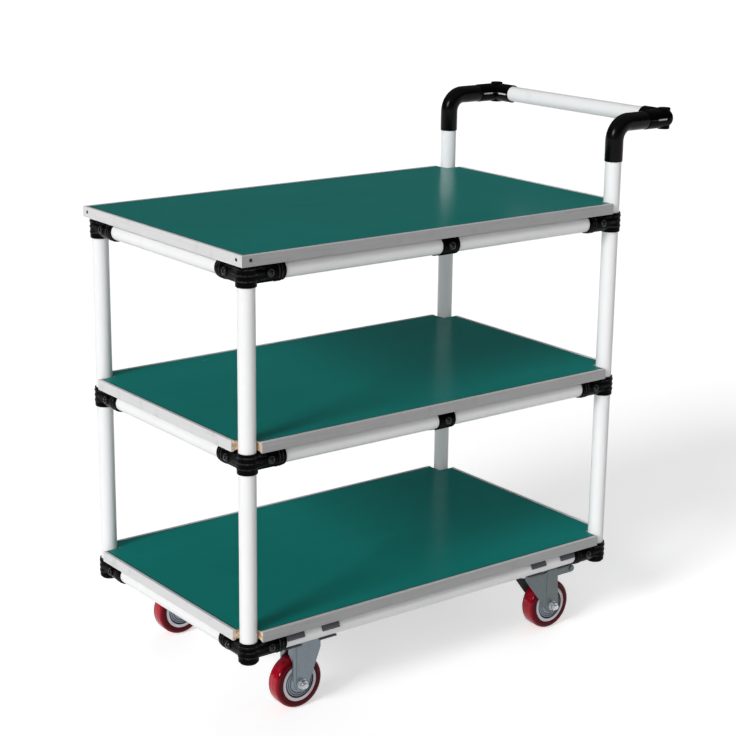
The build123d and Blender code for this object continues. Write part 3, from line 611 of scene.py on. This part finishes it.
# Mats: smooth green rubber sheet with a half gloss, cut to lie inside the channel's lips.
# They are stuck to the boards, lie dead flat, and have picked up a few light scuffs.
mat_edge = 0.0004
# width of the painted shade line round the mat's edge
mat_shade_width = 0.0026
mat_shade_full_width = 0.4 * mat_shade_width
mat_low, mat_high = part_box("mat_top")


def green_rubber():
    """Green with a slight drag along the shelf, a few scuffs, and painted shade in a dark line round the
    sheet's edge, where it meets the channel's lip.
    """
    finish = Finish("green_rubber", {"Specular IOR Level": 0.07, "IOR": 1.5})
    centred = {"Vector": finish.where(), "Location": -middle("mat_top")}
    place = finish.node("ShaderNodeMapping", {}, centred)
    half_size = (mat_high - mat_low) / 2
    inset_x = half_size.x - abs(finish.part(place, "X"))
    inset_y = half_size.y - abs(finish.part(place, "Y"))
    inset = finish.node("ShaderNodeMath", {"operation": "MINIMUM"}, {0: inset_x, 1: inset_y})
    # painted shade: the mat is coloured dark close to its edge, where it meets the channel's lip
    edge_shade_line = 1 - finish.between(inset, mat_shade_full_width, mat_shade_width)
    cloud = finish.noise(3.5, detail=5)
    drag = finish.noise(30, (0.15, 1, 1), detail=4)
    scuffs = finish.between(finish.noise(26, (0.5, 1.6, 1), detail=9), 0.70, 0.78)
    rubber = finish.blend(cloud, (0.002, 0.186, 0.163), (0.003, 0.220, 0.194))
    worn = finish.blend(0.25 * finish.between(drag, 0.45, 0.75), rubber, (0.004, 0.245, 0.214))
    scuffed = finish.blend(0.04 * scuffs, worn, (0.05, 0.22, 0.19))
    finish.vary("Base Color", finish.blend(0.75 * edge_shade_line, scuffed, (0.001, 0.02, 0.018)))
    finish.vary("Roughness", 0.2 + 0.08 * cloud + 0.04 * scuffs)
    finish.relief(finish.noise(500, detail=3), 0.00004, 0.4)
    return finish


mat_finish = green_rubber()
for level in levels:
    node = f"mat_{level}"
    settle_copy(node, f"{node}_laid", mat_edge, mat_finish, "mat")

# Edge channel: aluminium pressed to a shallow U and left as rolled, with fine lines along its length.
# It wraps the board's edges, mitred at the top shelf's front corners and cut square at each post.
# The short lengths across the ends are coloured lighter than the long ones, as painted light and painted
# shade.
channel_wall = 0.0015
channel_lip = 0.006
channel_round = 0.0007
channel_arc_steps = 4
# where the upper lip's painted highlight, partly wear, fades out
lip_rub_and_highlight_start, lip_rub_and_highlight_end = 0.8 * channel_lip, 1.2 * channel_lip
channel_notch = 0.0345
mitre_half_gap = 0.0001


def rolled_channel():
    """Bare metal with rolling lines along its run, stained in places, painted lighter on the ends and darker
    on the sides, its upper lip worn and given a painted highlight.
    """
    finish = Finish("rolled_channel", {"Metallic": 0.06, "Specular IOR Level": 0.25})
    run = finish.node("ShaderNodeTexCoord", output="UV")
    lines = finish.noise(900, (0.012, 1, 1), detail=4, place=run)
    bands = finish.noise(70, (0.05, 1, 1), detail=3, place=run)
    stains = finish.between(finish.noise(40, detail=5), 0.55, 0.8)
    # painted highlight, partly wear: the upper lip is coloured pale
    lip_rub_and_highlight = 1 - finish.between(finish.part(run, "Y"), lip_rub_and_highlight_start, lip_rub_and_highlight_end)
    # painted light and painted shade: a lighter tone for the lengths across the ends, a darker one for the
    # long sides
    side_metal_painted_shade = finish.blend(lines, (0.28, 0.28, 0.285), (0.47, 0.47, 0.475))
    end_metal_painted_light = finish.blend(lines, (0.54, 0.54, 0.545), (0.74, 0.74, 0.745))
    metal = finish.blend(finish.mark("bright"), side_metal_painted_shade, end_metal_painted_light)
    stained = finish.blend(0.3 * stains, metal, (0.25, 0.245, 0.245))
    finish.vary("Base Color", finish.blend(0.75 * lip_rub_and_highlight, stained, (0.66, 0.66, 0.67)))
    finish.vary("Roughness", 0.34 + 0.14 * lines + 0.08 * bands)
    finish.relief(lines + 0.5 * bands, 0.00008, 0.5)
    return finish


def arc(centre, radius, first, last, count):
    """Points on an arc between two angles in degrees."""
    turns = [math.radians(first + (last - first) * step / count) for step in range(count + 1)]
    return [(centre[0] + radius * math.cos(turn), centre[1] + radius * math.sin(turn)) for turn in turns]


def channel_profile(height):
    """The channel's outline as (depth from its outer face, height below its top)."""
    wall, lip, corner, steps = channel_wall, channel_lip, channel_round, channel_arc_steps
    outside = arc((corner, -corner), corner, 180, 90, steps)
    top_lip = arc((lip - wall / 2, -wall / 2), wall / 2, 90, -90, steps)
    inside = [(wall, -wall), (wall, -height + wall)]
    foot_lip = arc((lip - wall / 2, -height + wall / 2), wall / 2, 90, -90, steps)
    foot = arc((corner, -height + corner), corner, 270, 180, steps)
    return outside + top_lip + inside + foot_lip + foot


def add_channel(shell, corner, along, inward, length, mitres, height):
    """Adds one length of channel from a shelf corner, with a mitre or a notch at each end."""
    profile = channel_profile(height)
    run = shell.loops.layers.uv.active or shell.loops.layers.uv.new("run")
    bright = shell.verts.layers.float.get("bright") or shell.verts.layers.float.new("bright")
    rings = []
    for at_end in (0, 1):
        ring = []
        for depth, drop in profile:
            cut = mitre_half_gap + depth if mitres[at_end] else channel_notch
            distance = length - cut if at_end else cut
            across = depth * Vector(inward) + Vector((0, 0, drop))
            vertex = shell.verts.new(Vector(corner) + distance * Vector(along) + across)
            # the bright mark picks the lengths across the ends, which take the painted light
            vertex[bright] = abs(along[1])
            ring.append((vertex, distance))
        rings.append(ring)
    girth = 0.0
    for index in range(len(profile)):
        after = (index + 1) % len(profile)
        next_girth = girth + math.dist(profile[index], profile[after])
        corners = rings[0][index], rings[1][index], rings[1][after], rings[0][after]
        face = shell.faces.new([vertex for vertex, distance in corners])
        heights = girth, girth, next_girth, next_girth
        for loop, (vertex, distance), height in zip(face.loops, corners, heights):
            loop[run].uv = distance, height
        girth = next_girth
    for ring in rings:
        cap = shell.faces.new([vertex for vertex, distance in ring])
        for loop in cap.loops:
            loop[run].uv = loop.vert.co.xz


channel = rolled_channel()
for level in levels:
    node = f"edge_trim_{level}"
    low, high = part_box(node)
    length, width = high.x - low.x, high.y - low.y
    front_mitre = level == "top"
    sides = [
        ((low.x, low.y), (1, 0, 0), (0, 1, 0), length, (front_mitre, False)),
        ((high.x, low.y), (0, 1, 0), (-1, 0, 0), width, (False, False)),
        ((high.x, high.y), (-1, 0, 0), (0, -1, 0), length, (False, front_mitre)),
        ((low.x, high.y), (0, -1, 0), (1, 0, 0), width, (front_mitre, front_mitre)),
    ]
    shell = bmesh.new()
    for corner, along, inward, run_length, mitres in sides:
        add_channel(shell, (*corner, high.z), along, inward, run_length, mitres, high.z - low.z)
    settle(make_piece(f"{node}_rolled", shell, channel), "frame", "edge_channel", node)

# Channel screws: small blackened countersunk screws with a shallow cross recess, heads slightly proud.
# One on each face of the top shelf's two front corners pins the mitre to the board.
screw_sizes = {
    "Head radius": 0.0028,
    "Head height": 0.0013,
    "Head rise": 0.0006,
    "Shank radius": 0.0015,
    "Slot length": 0.00336,
    "Slot width": 0.0007,
    "Slot depth": 0.0004,
    "Length": 0.010,
}
screw_inset = 0.015
screw_drop = 0.008
screw_head_corners, screw_shank_corners = 32, 20
screw_former = Former("cross_screw", screw_sizes)
screw_size = screw_former.size
head_blank = {
    "Vertices": screw_head_corners,
    "Radius Top": screw_size("Head radius"),
    "Radius Bottom": screw_size("Shank radius"),
    "Depth": screw_size("Head height"),
}
screw_cone = screw_former.node("GeometryNodeMeshCone", {}, head_blank, "Mesh")
screw_head = screw_former.at_height(screw_cone, screw_size("Head rise") - screw_size("Head height"))
slots = []
for long_axis, short_axis in ("XY", "YX"):
    block = {long_axis: screw_size("Slot length"), short_axis: screw_size("Slot width")}
    block["Z"] = 2 * screw_size("Slot depth")
    slot_size = screw_former.node("ShaderNodeCombineXYZ", {}, block)
    slot_block = screw_former.node("GeometryNodeMeshCube", {}, {"Size": slot_size}, "Mesh")
    slots.append(screw_former.at_height(slot_block, screw_size("Head rise")))
cross = {"Mesh 1": screw_head, "Mesh 2": slots}
recessed = screw_former.node("GeometryNodeMeshBoolean", {"operation": "DIFFERENCE"}, cross)
screw_length = screw_size("Length")
screw_shank = screw_former.rod(screw_shank_corners, screw_size("Shank radius"), -screw_length, screw_length)
screw_former.seat_all(recessed, screw_shank)
trim_low, trim_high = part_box("edge_trim_top")
screw_z = trim_high.z - screw_drop
screw_seats = []
for side, face_y in ((-1, trim_low.y), (1, trim_high.y)):
    screw_seats.append(((trim_low.x + screw_inset, face_y, screw_z), (0, side, 0)))
    screw_seats.append(((trim_low.x, face_y - side * screw_inset, screw_z), (-1, 0, 0)))
channel_screws = screw_former.run("channel_screws", screw_seats, screw_sizes, oxide)
settle(channel_screws, "frame", "zinc", "trim_screws")

# Handle elbows: glossy black moulded bends, pushed over the rear posts and over the handle's stubs.
# Each is a hollow quarter bend with a socket in both ends and a slightly rounded mouth.
elbow_radius = 0.0156
elbow_socket = 0.0141
elbow_throat = 0.0115
elbow_bend = 0.030
elbow_leg = 0.035
elbow_socket_depth = 0.026
elbow_mouth_round = 0.0008
elbow_quarter = elbow_bend * math.pi / 2
elbow_steps = 48
elbow_bend_steps = 20
elbow_mouth_steps = 4
hands = ("left", "right")


def black_moulding():
    """Glossy black plastic with a thin, cloudy shine."""
    finish = Finish("black_moulding", {"Specular IOR Level": 0.09, "Coat Roughness": 0.12})
    cloud = finish.noise(45, detail=4)
    finish.vary("Base Color", finish.blend(cloud, (0.0012, 0.0012, 0.0015), (0.003, 0.003, 0.0034)))
    finish.vary("Roughness", 0.17 + 0.1 * cloud)
    finish.vary("Coat Weight", 0.01 + 0.04 * cloud)
    finish.relief(finish.noise(1200, detail=2), 0.00003, 0.3)
    return finish


def elbow_station(foot, station):
    """A point on an elbow's centre line and the direction across it, in the plane of the bend."""
    if station <= elbow_leg:
        return foot + Vector((0, 0, station)), Vector((1, 0, 0))
    if station < elbow_leg + elbow_quarter:
        turn = (station - elbow_leg) / elbow_bend
        centre = foot + Vector((elbow_bend, 0, elbow_leg))
        across = Vector((math.cos(turn), 0, -math.sin(turn)))
        return centre - elbow_bend * across, across
    reach = elbow_bend + station - elbow_leg - elbow_quarter
    return foot + Vector((reach, 0, elbow_leg + elbow_bend)), Vector((0, 0, -1))


def elbow_profile(run):
    """The wall as (station, radius): along the outside from the foot to the arm's end, and back inside."""
    bend = [elbow_leg + elbow_quarter * step / elbow_bend_steps for step in range(elbow_bend_steps + 1)]
    rounding = arc((-elbow_mouth_round, 0), elbow_mouth_round, 90, 0, elbow_mouth_steps)
    mouth = [(elbow_mouth_round - d, elbow_radius + r) for r, d in rounding]
    far_mouth = [(run - station, radius) for station, radius in reversed(mouth)]
    outside = mouth + [(station, elbow_radius) for station in bend] + far_mouth
    socket = [(elbow_socket_depth, elbow_throat), (elbow_socket_depth, elbow_socket), (0, elbow_socket)]
    far_socket = [(run - station, radius) for station, radius in reversed(socket)]
    throat = [(station, elbow_throat) for station in reversed(bend)]
    return outside + far_socket + throat + socket


moulding = black_moulding()
for side in hands:
    node = f"elbow_{side}"
    low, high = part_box(node)
    foot = Vector((post_rear.x, middle(node).y, low.z))
    run = elbow_leg + elbow_quarter + high.x - post_rear.x - elbow_bend
    shell = bmesh.new()
    rings = []
    for station, radius in elbow_profile(run):
        centre, across = elbow_station(foot, station)
        ring = []
        for step in range(elbow_steps):
            turn = 2 * math.pi * step / elbow_steps
            out = math.cos(turn) * across + math.sin(turn) * Vector((0, 1, 0))
            ring.append(shell.verts.new(centre + radius * out))
        rings.append(ring)
    for lower, upper in zip(rings, rings[1:] + rings[:1]):
        bridge(shell, lower, upper)
    settle(make_piece(f"{node}_moulded", shell, moulding), "frame", "black_plastic", node)

# End caps: black plastic plugs pressed into the open pipe ends.
# They close the feet of all four posts and the tops of the front pair under the top board.
settle_copy("end_caps", "pipe_end_caps", 0, moulding, "black_plastic")

# Caster brackets: sheet steel painted dark grey, bent to lie under the rail and hook over it with two tabs.
# The channel and the board above hold the tabs down, and the caster's plate is bolted below.
bracket_edge = 0.0005
bracket_paint = dark_paint("grey_bracket_paint", 0.09, 0.12, 0.2, 0.42, 0.05)
settle_copy("caster_brackets", "caster_brackets_bent", bracket_edge, bracket_paint, "black_clamp")

# Caster bolts: bright zinc plated bolts of the clamps' kind, shorter, four to each caster plate.
# Their heads lie inside the bracket, and their nuts show underneath.
caster_bolt_x = 0.044
caster_bolt_y = 0.022
bracket_sheet = 0.0022
caster_sheet = 0.003
plate_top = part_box("rigid_fork_left")[1].z
caster_bolt_sizes = {**bolt_sizes, "Nut height": 0.0045, "Tail": 0.001, "Washer thickness": 0.0004}
caster_x = {"front": middle("rigid_fork_left").x, "rear": middle("swivel_plates").x}
caster_y = -middle("rigid_fork_left").y
caster_bolt_seats = [
    ((x + dx, side * caster_y + dy, plate_top + bracket_sheet), (0, 0, 1))
    for x in caster_x.values()
    for side in (-1, 1)
    for dx in (-caster_bolt_x, caster_bolt_x)
    for dy in (-caster_bolt_y, caster_bolt_y)
]


def zinc_plate(name, dark, pale, shine):
    """Plated steel, clouded between two tones, with a fine spangle."""
    finish = Finish(name, {"Metallic": 0.7})
    spangle = finish.node("ShaderNodeTexVoronoi", {}, {"Vector": finish.where(), "Scale": 260.0})
    cloud = finish.noise(60, detail=4)
    plate = finish.blend(cloud, dark, pale)
    finish.vary("Base Color", finish.blend(0.25 * spangle, plate, tuple(0.8 * part for part in dark)))
    finish.vary("Roughness", shine + 0.16 * cloud + 0.06 * spangle)
    finish.relief(finish.noise(700, detail=3), 0.00005, 0.3)
    return finish


bright_zinc = zinc_plate("bright_zinc", (0.52, 0.56, 0.60), (0.72, 0.75, 0.78), 0.16)
caster_grip = {**caster_bolt_sizes, "Grip": bracket_sheet + caster_sheet}
caster_bolts = socket_bolt.run("caster_bolts", caster_bolt_seats, caster_grip, bright_zinc)
settle(caster_bolts, "frame", "zinc", "bracket_bolts")

# Caster forks and plates: pressed sheet steel, zinc plated to a cool grey, with painted shade on the rear
# casters.
# The front forks are welded to their plates.
# The rear forks turn under theirs, on a ring of balls and a kingpin.
fork_edge = 0.0006
cheek_face = 0.0205
cheek_end_radius = 0.014
wheel_radius = 0.045
rigid_cheek_front = 0.016
rigid_cheek_drop = 1.5 * caster_sheet
swivel_cheek_front = 0.034
swivel_cheek_shoulder = 0.006
fold_width = 0.004
fold_depth = 0.0018
fold_crease = 0.0055
crease_lead = 0.015
crease_half = 0.0011
crease_depth = 0.0013
fine_slack = merge_distance / 4
fork_zinc = zinc_plate("fork_zinc", (0.18, 0.22, 0.247), (0.26, 0.302, 0.33), 0.28)
# painted shade: the rear casters' zinc is a darker copy of the fork zinc
dull_zinc = zinc_plate("dull_zinc", (0.115, 0.137, 0.143), (0.172, 0.196, 0.2), 0.3)
wheel_centre = {}
for end in ("front", "rear"):
    for side in hands:
        wheel_centre[end, side] = Vector((*middle(f"tyre_{end}_{side}").xy, wheel_radius))


def score(shell, point, normal, slack=merge_distance):
    """Divides every face that a plane crosses."""
    everything = shell.verts[:] + shell.edges[:] + shell.faces[:]
    bmesh.ops.bisect_plane(shell, geom=everything, dist=slack, plane_co=point, plane_no=normal)


def press_cheeks(shell, axle, point, way, depth_at, cuts, ceiling):
    """Presses the cheeks' outer faces in, to a depth set by the distance ahead of a line across them."""
    ahead = Vector((way.z, 0, -way.x)).normalized()
    if ahead.x > 0:
        ahead = -ahead
    for cut in cuts:
        score(shell, point + cut * ahead, ahead)
    for vertex in shell.verts:
        out = vertex.co.y - axle.y
        if abs(abs(out) - cheek_face) < merge_distance and vertex.co.z < ceiling:
            vertex.co.y -= math.copysign(depth_at((vertex.co - point).dot(ahead)), out)


def fold_edge(shell, axle, point, way, ceiling):
    """Folds a cheek's front edge in over its last few millimetres."""
    def depth(distance):
        return fold_depth * min(max(distance / fold_width + 1, 0), 1)
    press_cheeks(shell, axle, point, way, depth, (-fold_width,), ceiling)


def press_crease(shell, axle, point, way, ceiling):
    """Presses a straight crease into the cheeks."""
    def depth(distance):
        return crease_depth * max(1 - abs(distance) / crease_half, 0)
    press_cheeks(shell, axle, point, way, depth, (-crease_half, 0, crease_half), ceiling)


def press_rigid(side):
    """The shaping of a front fork: upright front edges folded in, with a crease behind each fold."""
    axle = wheel_centre["front", side]
    ceiling = plate_top - rigid_cheek_drop
    front = axle - Vector((rigid_cheek_front, 0, 0))

    def shape(shell):
        score(shell, (0, 0, ceiling - merge_distance), (0, 0, 1), fine_slack)
        fold_edge(shell, axle, front, Vector((0, 0, 1)), ceiling)
        press_crease(shell, axle, front + Vector((fold_crease, 0, 0)), Vector((0, 0, 1)), ceiling)
    return shape


def press_swivel(side):
    """The shaping of a rear fork: leaning front edges folded in, and a crease ahead of the axle."""
    axle = wheel_centre["rear", side]
    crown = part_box(f"swivel_fork_{side}")[1].z
    corner = Vector((caster_x["rear"] - swivel_cheek_front, axle.y, crown - swivel_cheek_shoulder))
    reach = axle - corner
    lean = math.atan2(reach.z, reach.x) - math.asin(cheek_end_radius / reach.length)
    edge_way = Vector((math.cos(lean), 0, math.sin(lean)))

    def shape(shell):
        fold_edge(shell, axle, corner, edge_way, crown - merge_distance)
        crease_line = axle - Vector((crease_lead, 0, 0))
        press_crease(shell, axle, crease_line, Vector((0, 0, 1)), crown + merge_distance)
    return shape


for side in hands:
    node = f"rigid_fork_{side}"
    settle_copy(node, f"{node}_pressed", fork_edge, fork_zinc, "zinc", shape=press_rigid(side))
for node in ("swivel_plates", "kingpins"):
    settle_copy(node, f"{node}_pressed", fork_edge, dull_zinc, "zinc")
settle_copy("swivel_balls", "swivel_ball_rings", 0, bright_zinc, "bearing")
for side in hands:
    node = f"swivel_fork_{side}"
    body = f"fork_rear_{side}"
    settle_copy(node, f"{node}_pressed", fork_edge, dull_zinc, "zinc", body, press_swivel(side))

# Axle bolts: hexagon headed steel bolts through both cheeks and the wheel's bearings.
# The nut and its thread end stand out on the left of each caster.
axle_sizes = {
    "Head radius": 0.0075,
    "Head height": 0.0055,
    "Washer radius": 0.0085,
    "Washer thickness": 0.0010,
    "Shank radius": 0.0039,
    "Nut radius": 0.0075,
    "Nut height": 0.0065,
    "Tail": 0.0050,
    "Thread depth": 0.0004,
    "Thread pitch": 0.00125,
}
axle_bolt = bolt_former("axle_bolt", axle_sizes, hexagon_head=True)
axle_grip = {**axle_sizes, "Grip": 2 * cheek_face}
head_out = Vector((0, cheek_face, 0))
front_seats = [(wheel_centre["front", side] + head_out, (0, 1, 0)) for side in hands]
settle(axle_bolt.run("rigid_axle_bolts", front_seats, axle_grip, bright_zinc), "frame", "zinc", "rigid_axles")
for side in hands:
    seat = [(wheel_centre["rear", side] + head_out, (0, 1, 0))]
    swivel_axle = axle_bolt.run(f"swivel_axle_bolt_{side}", seat, axle_grip, bright_zinc)
    settle(swivel_axle, f"fork_rear_{side}", "zinc", f"swivel_axle_{side}")

# Tyres: red polyurethane cast on the cores, glossy, with rounded shoulders and a faint mould line.
# A shallow step beside the core shows where the mould closed.
tyre_half_width = 0.015
tyre_shoulder = 0.007
shoulder_steps = 8
core_radius = 0.033
mould_line = 0.0001
mould_line_half = 0.0005
sidewall_step = 0.0005
wheel_steps = 96


def red_urethane():
    """Cast red that is paler on the tread, with painted shade darkening the side walls."""
    finish = Finish("red_urethane", {"Specular IOR Level": 0.08, "Coat Roughness": 0.05})
    cloud = finish.noise(40, detail=4)
    dust = finish.between(finish.noise(160, detail=6), 0.6, 0.8)
    from_wheel_middle = abs(abs(finish.part(finish.where(), "Y")) - caster_y)
    # painted shade: towards the side walls the red turns dark
    wall = finish.between(from_wheel_middle, tyre_half_width - tyre_shoulder, tyre_half_width)
    tread = finish.blend(cloud, (0.33, 0.002, 0.012), (0.40, 0.003, 0.017))
    # the dark red of the side walls' painted shade
    wall_painted_shade = finish.blend(cloud, (0.065, 0.0005, 0.004), (0.095, 0.0005, 0.006))
    cast = finish.blend(wall, tread, wall_painted_shade)
    finish.vary("Base Color", finish.blend(0.05 * dust, cast, (0.22, 0.06, 0.06)))
    finish.vary("Roughness", 0.09 + 0.07 * cloud + 0.1 * dust)
    finish.vary("Coat Weight", 0.45 - 0.42 * wall - 0.03 * dust)
    finish.relief(finish.noise(500, detail=3), 0.00004, 0.3)
    return finish


def tyre_profile():
    """The tyre's section as (radius, distance along the axle), from the core round over the tread."""
    flat = tyre_half_width - tyre_shoulder
    tread = wheel_radius - mould_line
    shoulder = arc((-flat, tread - tyre_shoulder), tyre_shoulder, 180, 90, shoulder_steps)
    near = [(radius, distance) for distance, radius in shoulder]
    far = [(radius, -distance) for radius, distance in reversed(near)]
    line = [
        (tread, -2 * mould_line_half),
        (wheel_radius, -mould_line_half),
        (wheel_radius, mould_line_half),
        (tread, 2 * mould_line_half),
    ]
    bead = core_radius + 2 * sidewall_step
    recess = -tyre_half_width + sidewall_step
    near_wall = [(core_radius, recess), (bead, recess), (bead + sidewall_step, -tyre_half_width)]
    far_wall = [(radius, -distance) for radius, distance in reversed(near_wall)]
    return near_wall + near + line + far + far_wall


def turn_for_wheels(kind, making, slot, turnings, *finishes):
    """Turns a piece for every wheel, from profiles with their paint and the way that each faces."""
    for (end, side), centre in wheel_centre.items():
        node = f"{kind}_{end}_{side}"
        shell = bmesh.new()
        for profile, paint, way in turnings:
            lathe(shell, profile, centre, (0, way, 0), wheel_steps, paint)
        settle(make_piece(f"{node}_{making}", shell, *finishes), f"wheel_{end}_{side}", slot, node)


turn_for_wheels("tyre", "cast", "tyre", [(tyre_profile(), None, 1)], red_urethane())

# Wheel cores: pale grey rims round a recess and a grooved blue-grey hub, moulded in one, with painted shade
# in the recess, grooves and pockets.
# The tyre is cast round the rim, and the hub holds a ball bearing in each end.
core_half = 0.014
rim_inner = 0.0266
disc_radius = 0.0245
groove_outer = (0.0228, 0.0192)
groove_width = 0.002
groove_slope = 0.0004
groove_depth = 0.0007
web_half = 0.006
hub_radius = 0.015
hub_half = 0.017
pocket_radius = 0.01102
pocket_depth = 0.007
core_bore = 0.0055
core_chamfer = 0.0006
# the recess paint is painted shade in the core's recess, grooves and bearing pockets
rim_paint, hub_paint, recess_shade_paint = range(3)


def core_finish(name, dark, pale):
    """Moulded plastic, clouded between two tones."""
    return clouded(
        name, {"Specular IOR Level": 0.5}, dark, pale,
        cloud=(70, 4), shine=(0.3, 0.15), grain=(600, 3, 0.00004),
    )


def core_side():
    """One half of the core's section, from the middle of its outside to its bore, with each step's paint."""
    c = core_chamfer
    groove_floor = core_half - groove_depth
    grooves = []
    for outer in groove_outer:
        inner = outer - groove_width
        grooves += [
            ((outer, core_half), hub_paint),
            ((outer - groove_slope, groove_floor), recess_shade_paint),
            ((inner + groove_slope, groove_floor), recess_shade_paint),
            ((inner, core_half), hub_paint),
        ]
    return [
        ((core_radius, 0.0), rim_paint),
        ((core_radius, core_half - c), rim_paint),
        ((core_radius - c, core_half), rim_paint),
        ((rim_inner + c, core_half), rim_paint),
        ((rim_inner, core_half - c), recess_shade_paint),
        ((rim_inner, web_half + c), recess_shade_paint),
        ((rim_inner - c, web_half), recess_shade_paint),
        ((disc_radius + c, web_half), recess_shade_paint),
        ((disc_radius, web_half + c), recess_shade_paint),
        ((disc_radius, core_half - c), hub_paint),
        ((disc_radius - c, core_half), hub_paint),
        *grooves,
        ((hub_radius + c, core_half), hub_paint),
        ((hub_radius, core_half + c), hub_paint),
        ((hub_radius, hub_half - c), hub_paint),
        ((hub_radius - c, hub_half), hub_paint),
        ((pocket_radius + c / 2, hub_half), hub_paint),
        ((pocket_radius, hub_half - c / 2), recess_shade_paint),
        ((pocket_radius, hub_half - pocket_depth), recess_shade_paint),
        ((core_bore, hub_half - pocket_depth), recess_shade_paint),
    ]


rim_grey = core_finish("rim_grey", (0.56, 0.54, 0.58), (0.68, 0.66, 0.70))
hub_blue = core_finish("hub_blue_grey", (0.18, 0.215, 0.26), (0.27, 0.31, 0.365))
# painted shade for the core's recess and grooves; the same dark tone is the bearings' own shield
groove_dark = core_finish("groove_dark", (0.03, 0.04, 0.05), (0.05, 0.065, 0.08))
half_points, half_paint = zip(*core_side())
core_points = [*half_points, *((radius, -distance) for radius, distance in half_points[:0:-1])]
core_paint = half_paint + half_paint[::-1]
core_turning = [(core_points, core_paint, 1)]
turn_for_wheels("wheel_core", "moulded", "core", core_turning, rim_grey, hub_blue, groove_dark)

# Wheel bearings: shielded ball bearings pressed into both ends of each hub.
# The ground outer and inner races stand just proud of a dark shield.
race_outer = 0.011
race_inner = 0.00405
shield_outer = 0.0094
shield_inner = 0.0058
shield_recess = 0.0005
race_paint, shield_paint = range(2)
ground_steel = clouded(
    "bearing_steel", {"Metallic": 1.0}, (0.50, 0.51, 0.53), (0.64, 0.65, 0.67),
    cloud=(400, 3), shine=(0.2, 0.12), grain=(400, 3, 0.00002),
)
bearing_points, bearing_paint = zip(
    ((race_inner, hub_half), race_paint),
    ((shield_inner, hub_half), race_paint),
    ((shield_inner, hub_half - shield_recess), shield_paint),
    ((shield_outer, hub_half - shield_recess), race_paint),
    ((shield_outer, hub_half), race_paint),
    ((race_outer, hub_half), race_paint),
    ((race_outer, hub_half - pocket_depth), race_paint),
    ((race_inner, hub_half - pocket_depth), race_paint),
)
bearing_turnings = [(bearing_points, bearing_paint, way) for way in (-1, 1)]
turn_for_wheels("wheel_bearings", "pressed", "bearing", bearing_turnings, ground_steel, groove_dark)

# Studio: a white floor that keeps the cart's soft shadow, under a dim dome that is brightest overhead.
# The camera sees the surroundings white, and so do mirrored rays that pass low over the floor.
# Three broad, distant lamps light the cart: the key from its front end, a fill and one from behind.
floor_half = 60.0
floor_colour = (0.95, 0.95, 0.95, 1)
floor_own_light = 0.47
dome_low = (0.05, 0.051, 0.053)
dome_high = (0.25, 0.25, 0.25)
dome_rise, dome_full = 0.40, 0.70
wall_top = 0.045
wall_white = wall_top / 3
lamps = {
    "key_lamp": (Vector((-0.86, -0.21, 0.47)), math.radians(18), 1.9, True),
    "front_fill": (Vector((-0.78, -0.61, 0.14)), math.radians(40), 1.4, False),
    "back_lamp": (Vector((0.75, 0.60, 0.28)), math.radians(60), 0.8, False),
}
seeing_rays = ("Camera", "Glossy", "Transmission")

floor_mesh = bpy.data.meshes.new("floor")
floor_corners = [(x * floor_half, y * floor_half, 0) for x, y in ((-1, -1), (1, -1), (1, 1), (-1, 1))]
floor_mesh.from_pydata(floor_corners, [], [(0, 1, 2, 3)])
floor = add_object("floor", floor_mesh)
floor_matt = {"Base Color": floor_colour, "Roughness": 0.9, "Specular IOR Level": 0.0}
floor_finish = Finish("studio_floor", floor_matt)
seen = sum(floor_finish.node("ShaderNodeLightPath", output=f"Is {ray} Ray") for ray in seeing_rays)
own_light = {"Color": (1, 1, 1, 1), "Strength": floor_own_light * seen}
glow = floor_finish.node("ShaderNodeEmission", {}, own_light)
matt = Signal(floor_finish, floor_finish.shader.outputs[0])
lit_floor = floor_finish.node("ShaderNodeAddShader", {}, {0: matt, 1: glow})
floor_finish.feed(floor_finish.tree.nodes["Material Output"].inputs["Surface"], lit_floor)
floor_mesh.materials.append(floor_finish.material)

world = bpy.data.worlds.new("studio_dome")
world.use_nodes = True
bpy.context.scene.world = world
dome = NodeBoard(world.node_tree)
sky = dome.node("ShaderNodeTexCoord", output="Generated")
height = dome.part(sky, "Z")
dome_colours = {"stops": [(0.0, dome_low), (dome_rise, dome_low), (dome_full, dome_high), (1.0, dome_high)]}
dome_light = dome.node("ShaderNodeValToRGB", dome_colours, {0: height})
camera_ray, glossy_ray, clear_ray = (
    dome.node("ShaderNodeLightPath", output=f"Is {ray} Ray") for ray in seeing_rays
)
white_share = camera_ray + clear_ray + glossy_ray * dome.between(height, wall_top, wall_white)
surroundings = dome.blend(white_share, dome_light, (1, 1, 1))
dome.feed(world.node_tree.nodes["Background"].inputs["Color"], surroundings)

for name, (way, spread, strength, mirrored) in lamps.items():
    light = bpy.data.lights.new(name, "SUN")
    light.angle = spread
    light.energy = strength
    lamp = add_object(name, light)
    lamp.visible_glossy = mirrored
    lamp.rotation_euler = (-way).to_track_quat("-Z", "Y").to_euler()
bpy.context.scene.view_settings.view_transform = "Standard"

# Camera: a long lens at chest height, off the cart's front left corner.
# Its place and turn are those from which the cart's known sizes meet the photograph.
image_width = 736
focal_pixels = 1814.07
sensor_width = 36.0
azimuth = math.radians(-37.34)
elevation = math.radians(15.65)
roll = math.radians(0.68)
view_centre = Vector((-0.05675, 0, 0.486))
view_offset = Vector((0.01743, 0.00407, 3.1404))
view_reach = 200.0

level_right = Vector((math.cos(azimuth), math.sin(azimuth), 0))
back = Vector((
    math.sin(azimuth) * math.cos(elevation),
    -math.cos(azimuth) * math.cos(elevation),
    math.sin(elevation),
))
level_up = back.cross(level_right)
right = math.cos(roll) * level_right + math.sin(roll) * level_up
up = math.cos(roll) * level_up - math.sin(roll) * level_right
turn = Matrix((right, up, back)).transposed()
lens = bpy.data.cameras.new("photo_camera")
lens.sensor_width = sensor_width
lens.lens = focal_pixels * sensor_width / image_width
lens.clip_end = view_reach
camera = add_object("photo_camera", lens)
camera.matrix_world = Matrix.Translation(view_centre + turn @ view_offset) @ turn.to_4x4()
bpy.context.scene.camera = camera
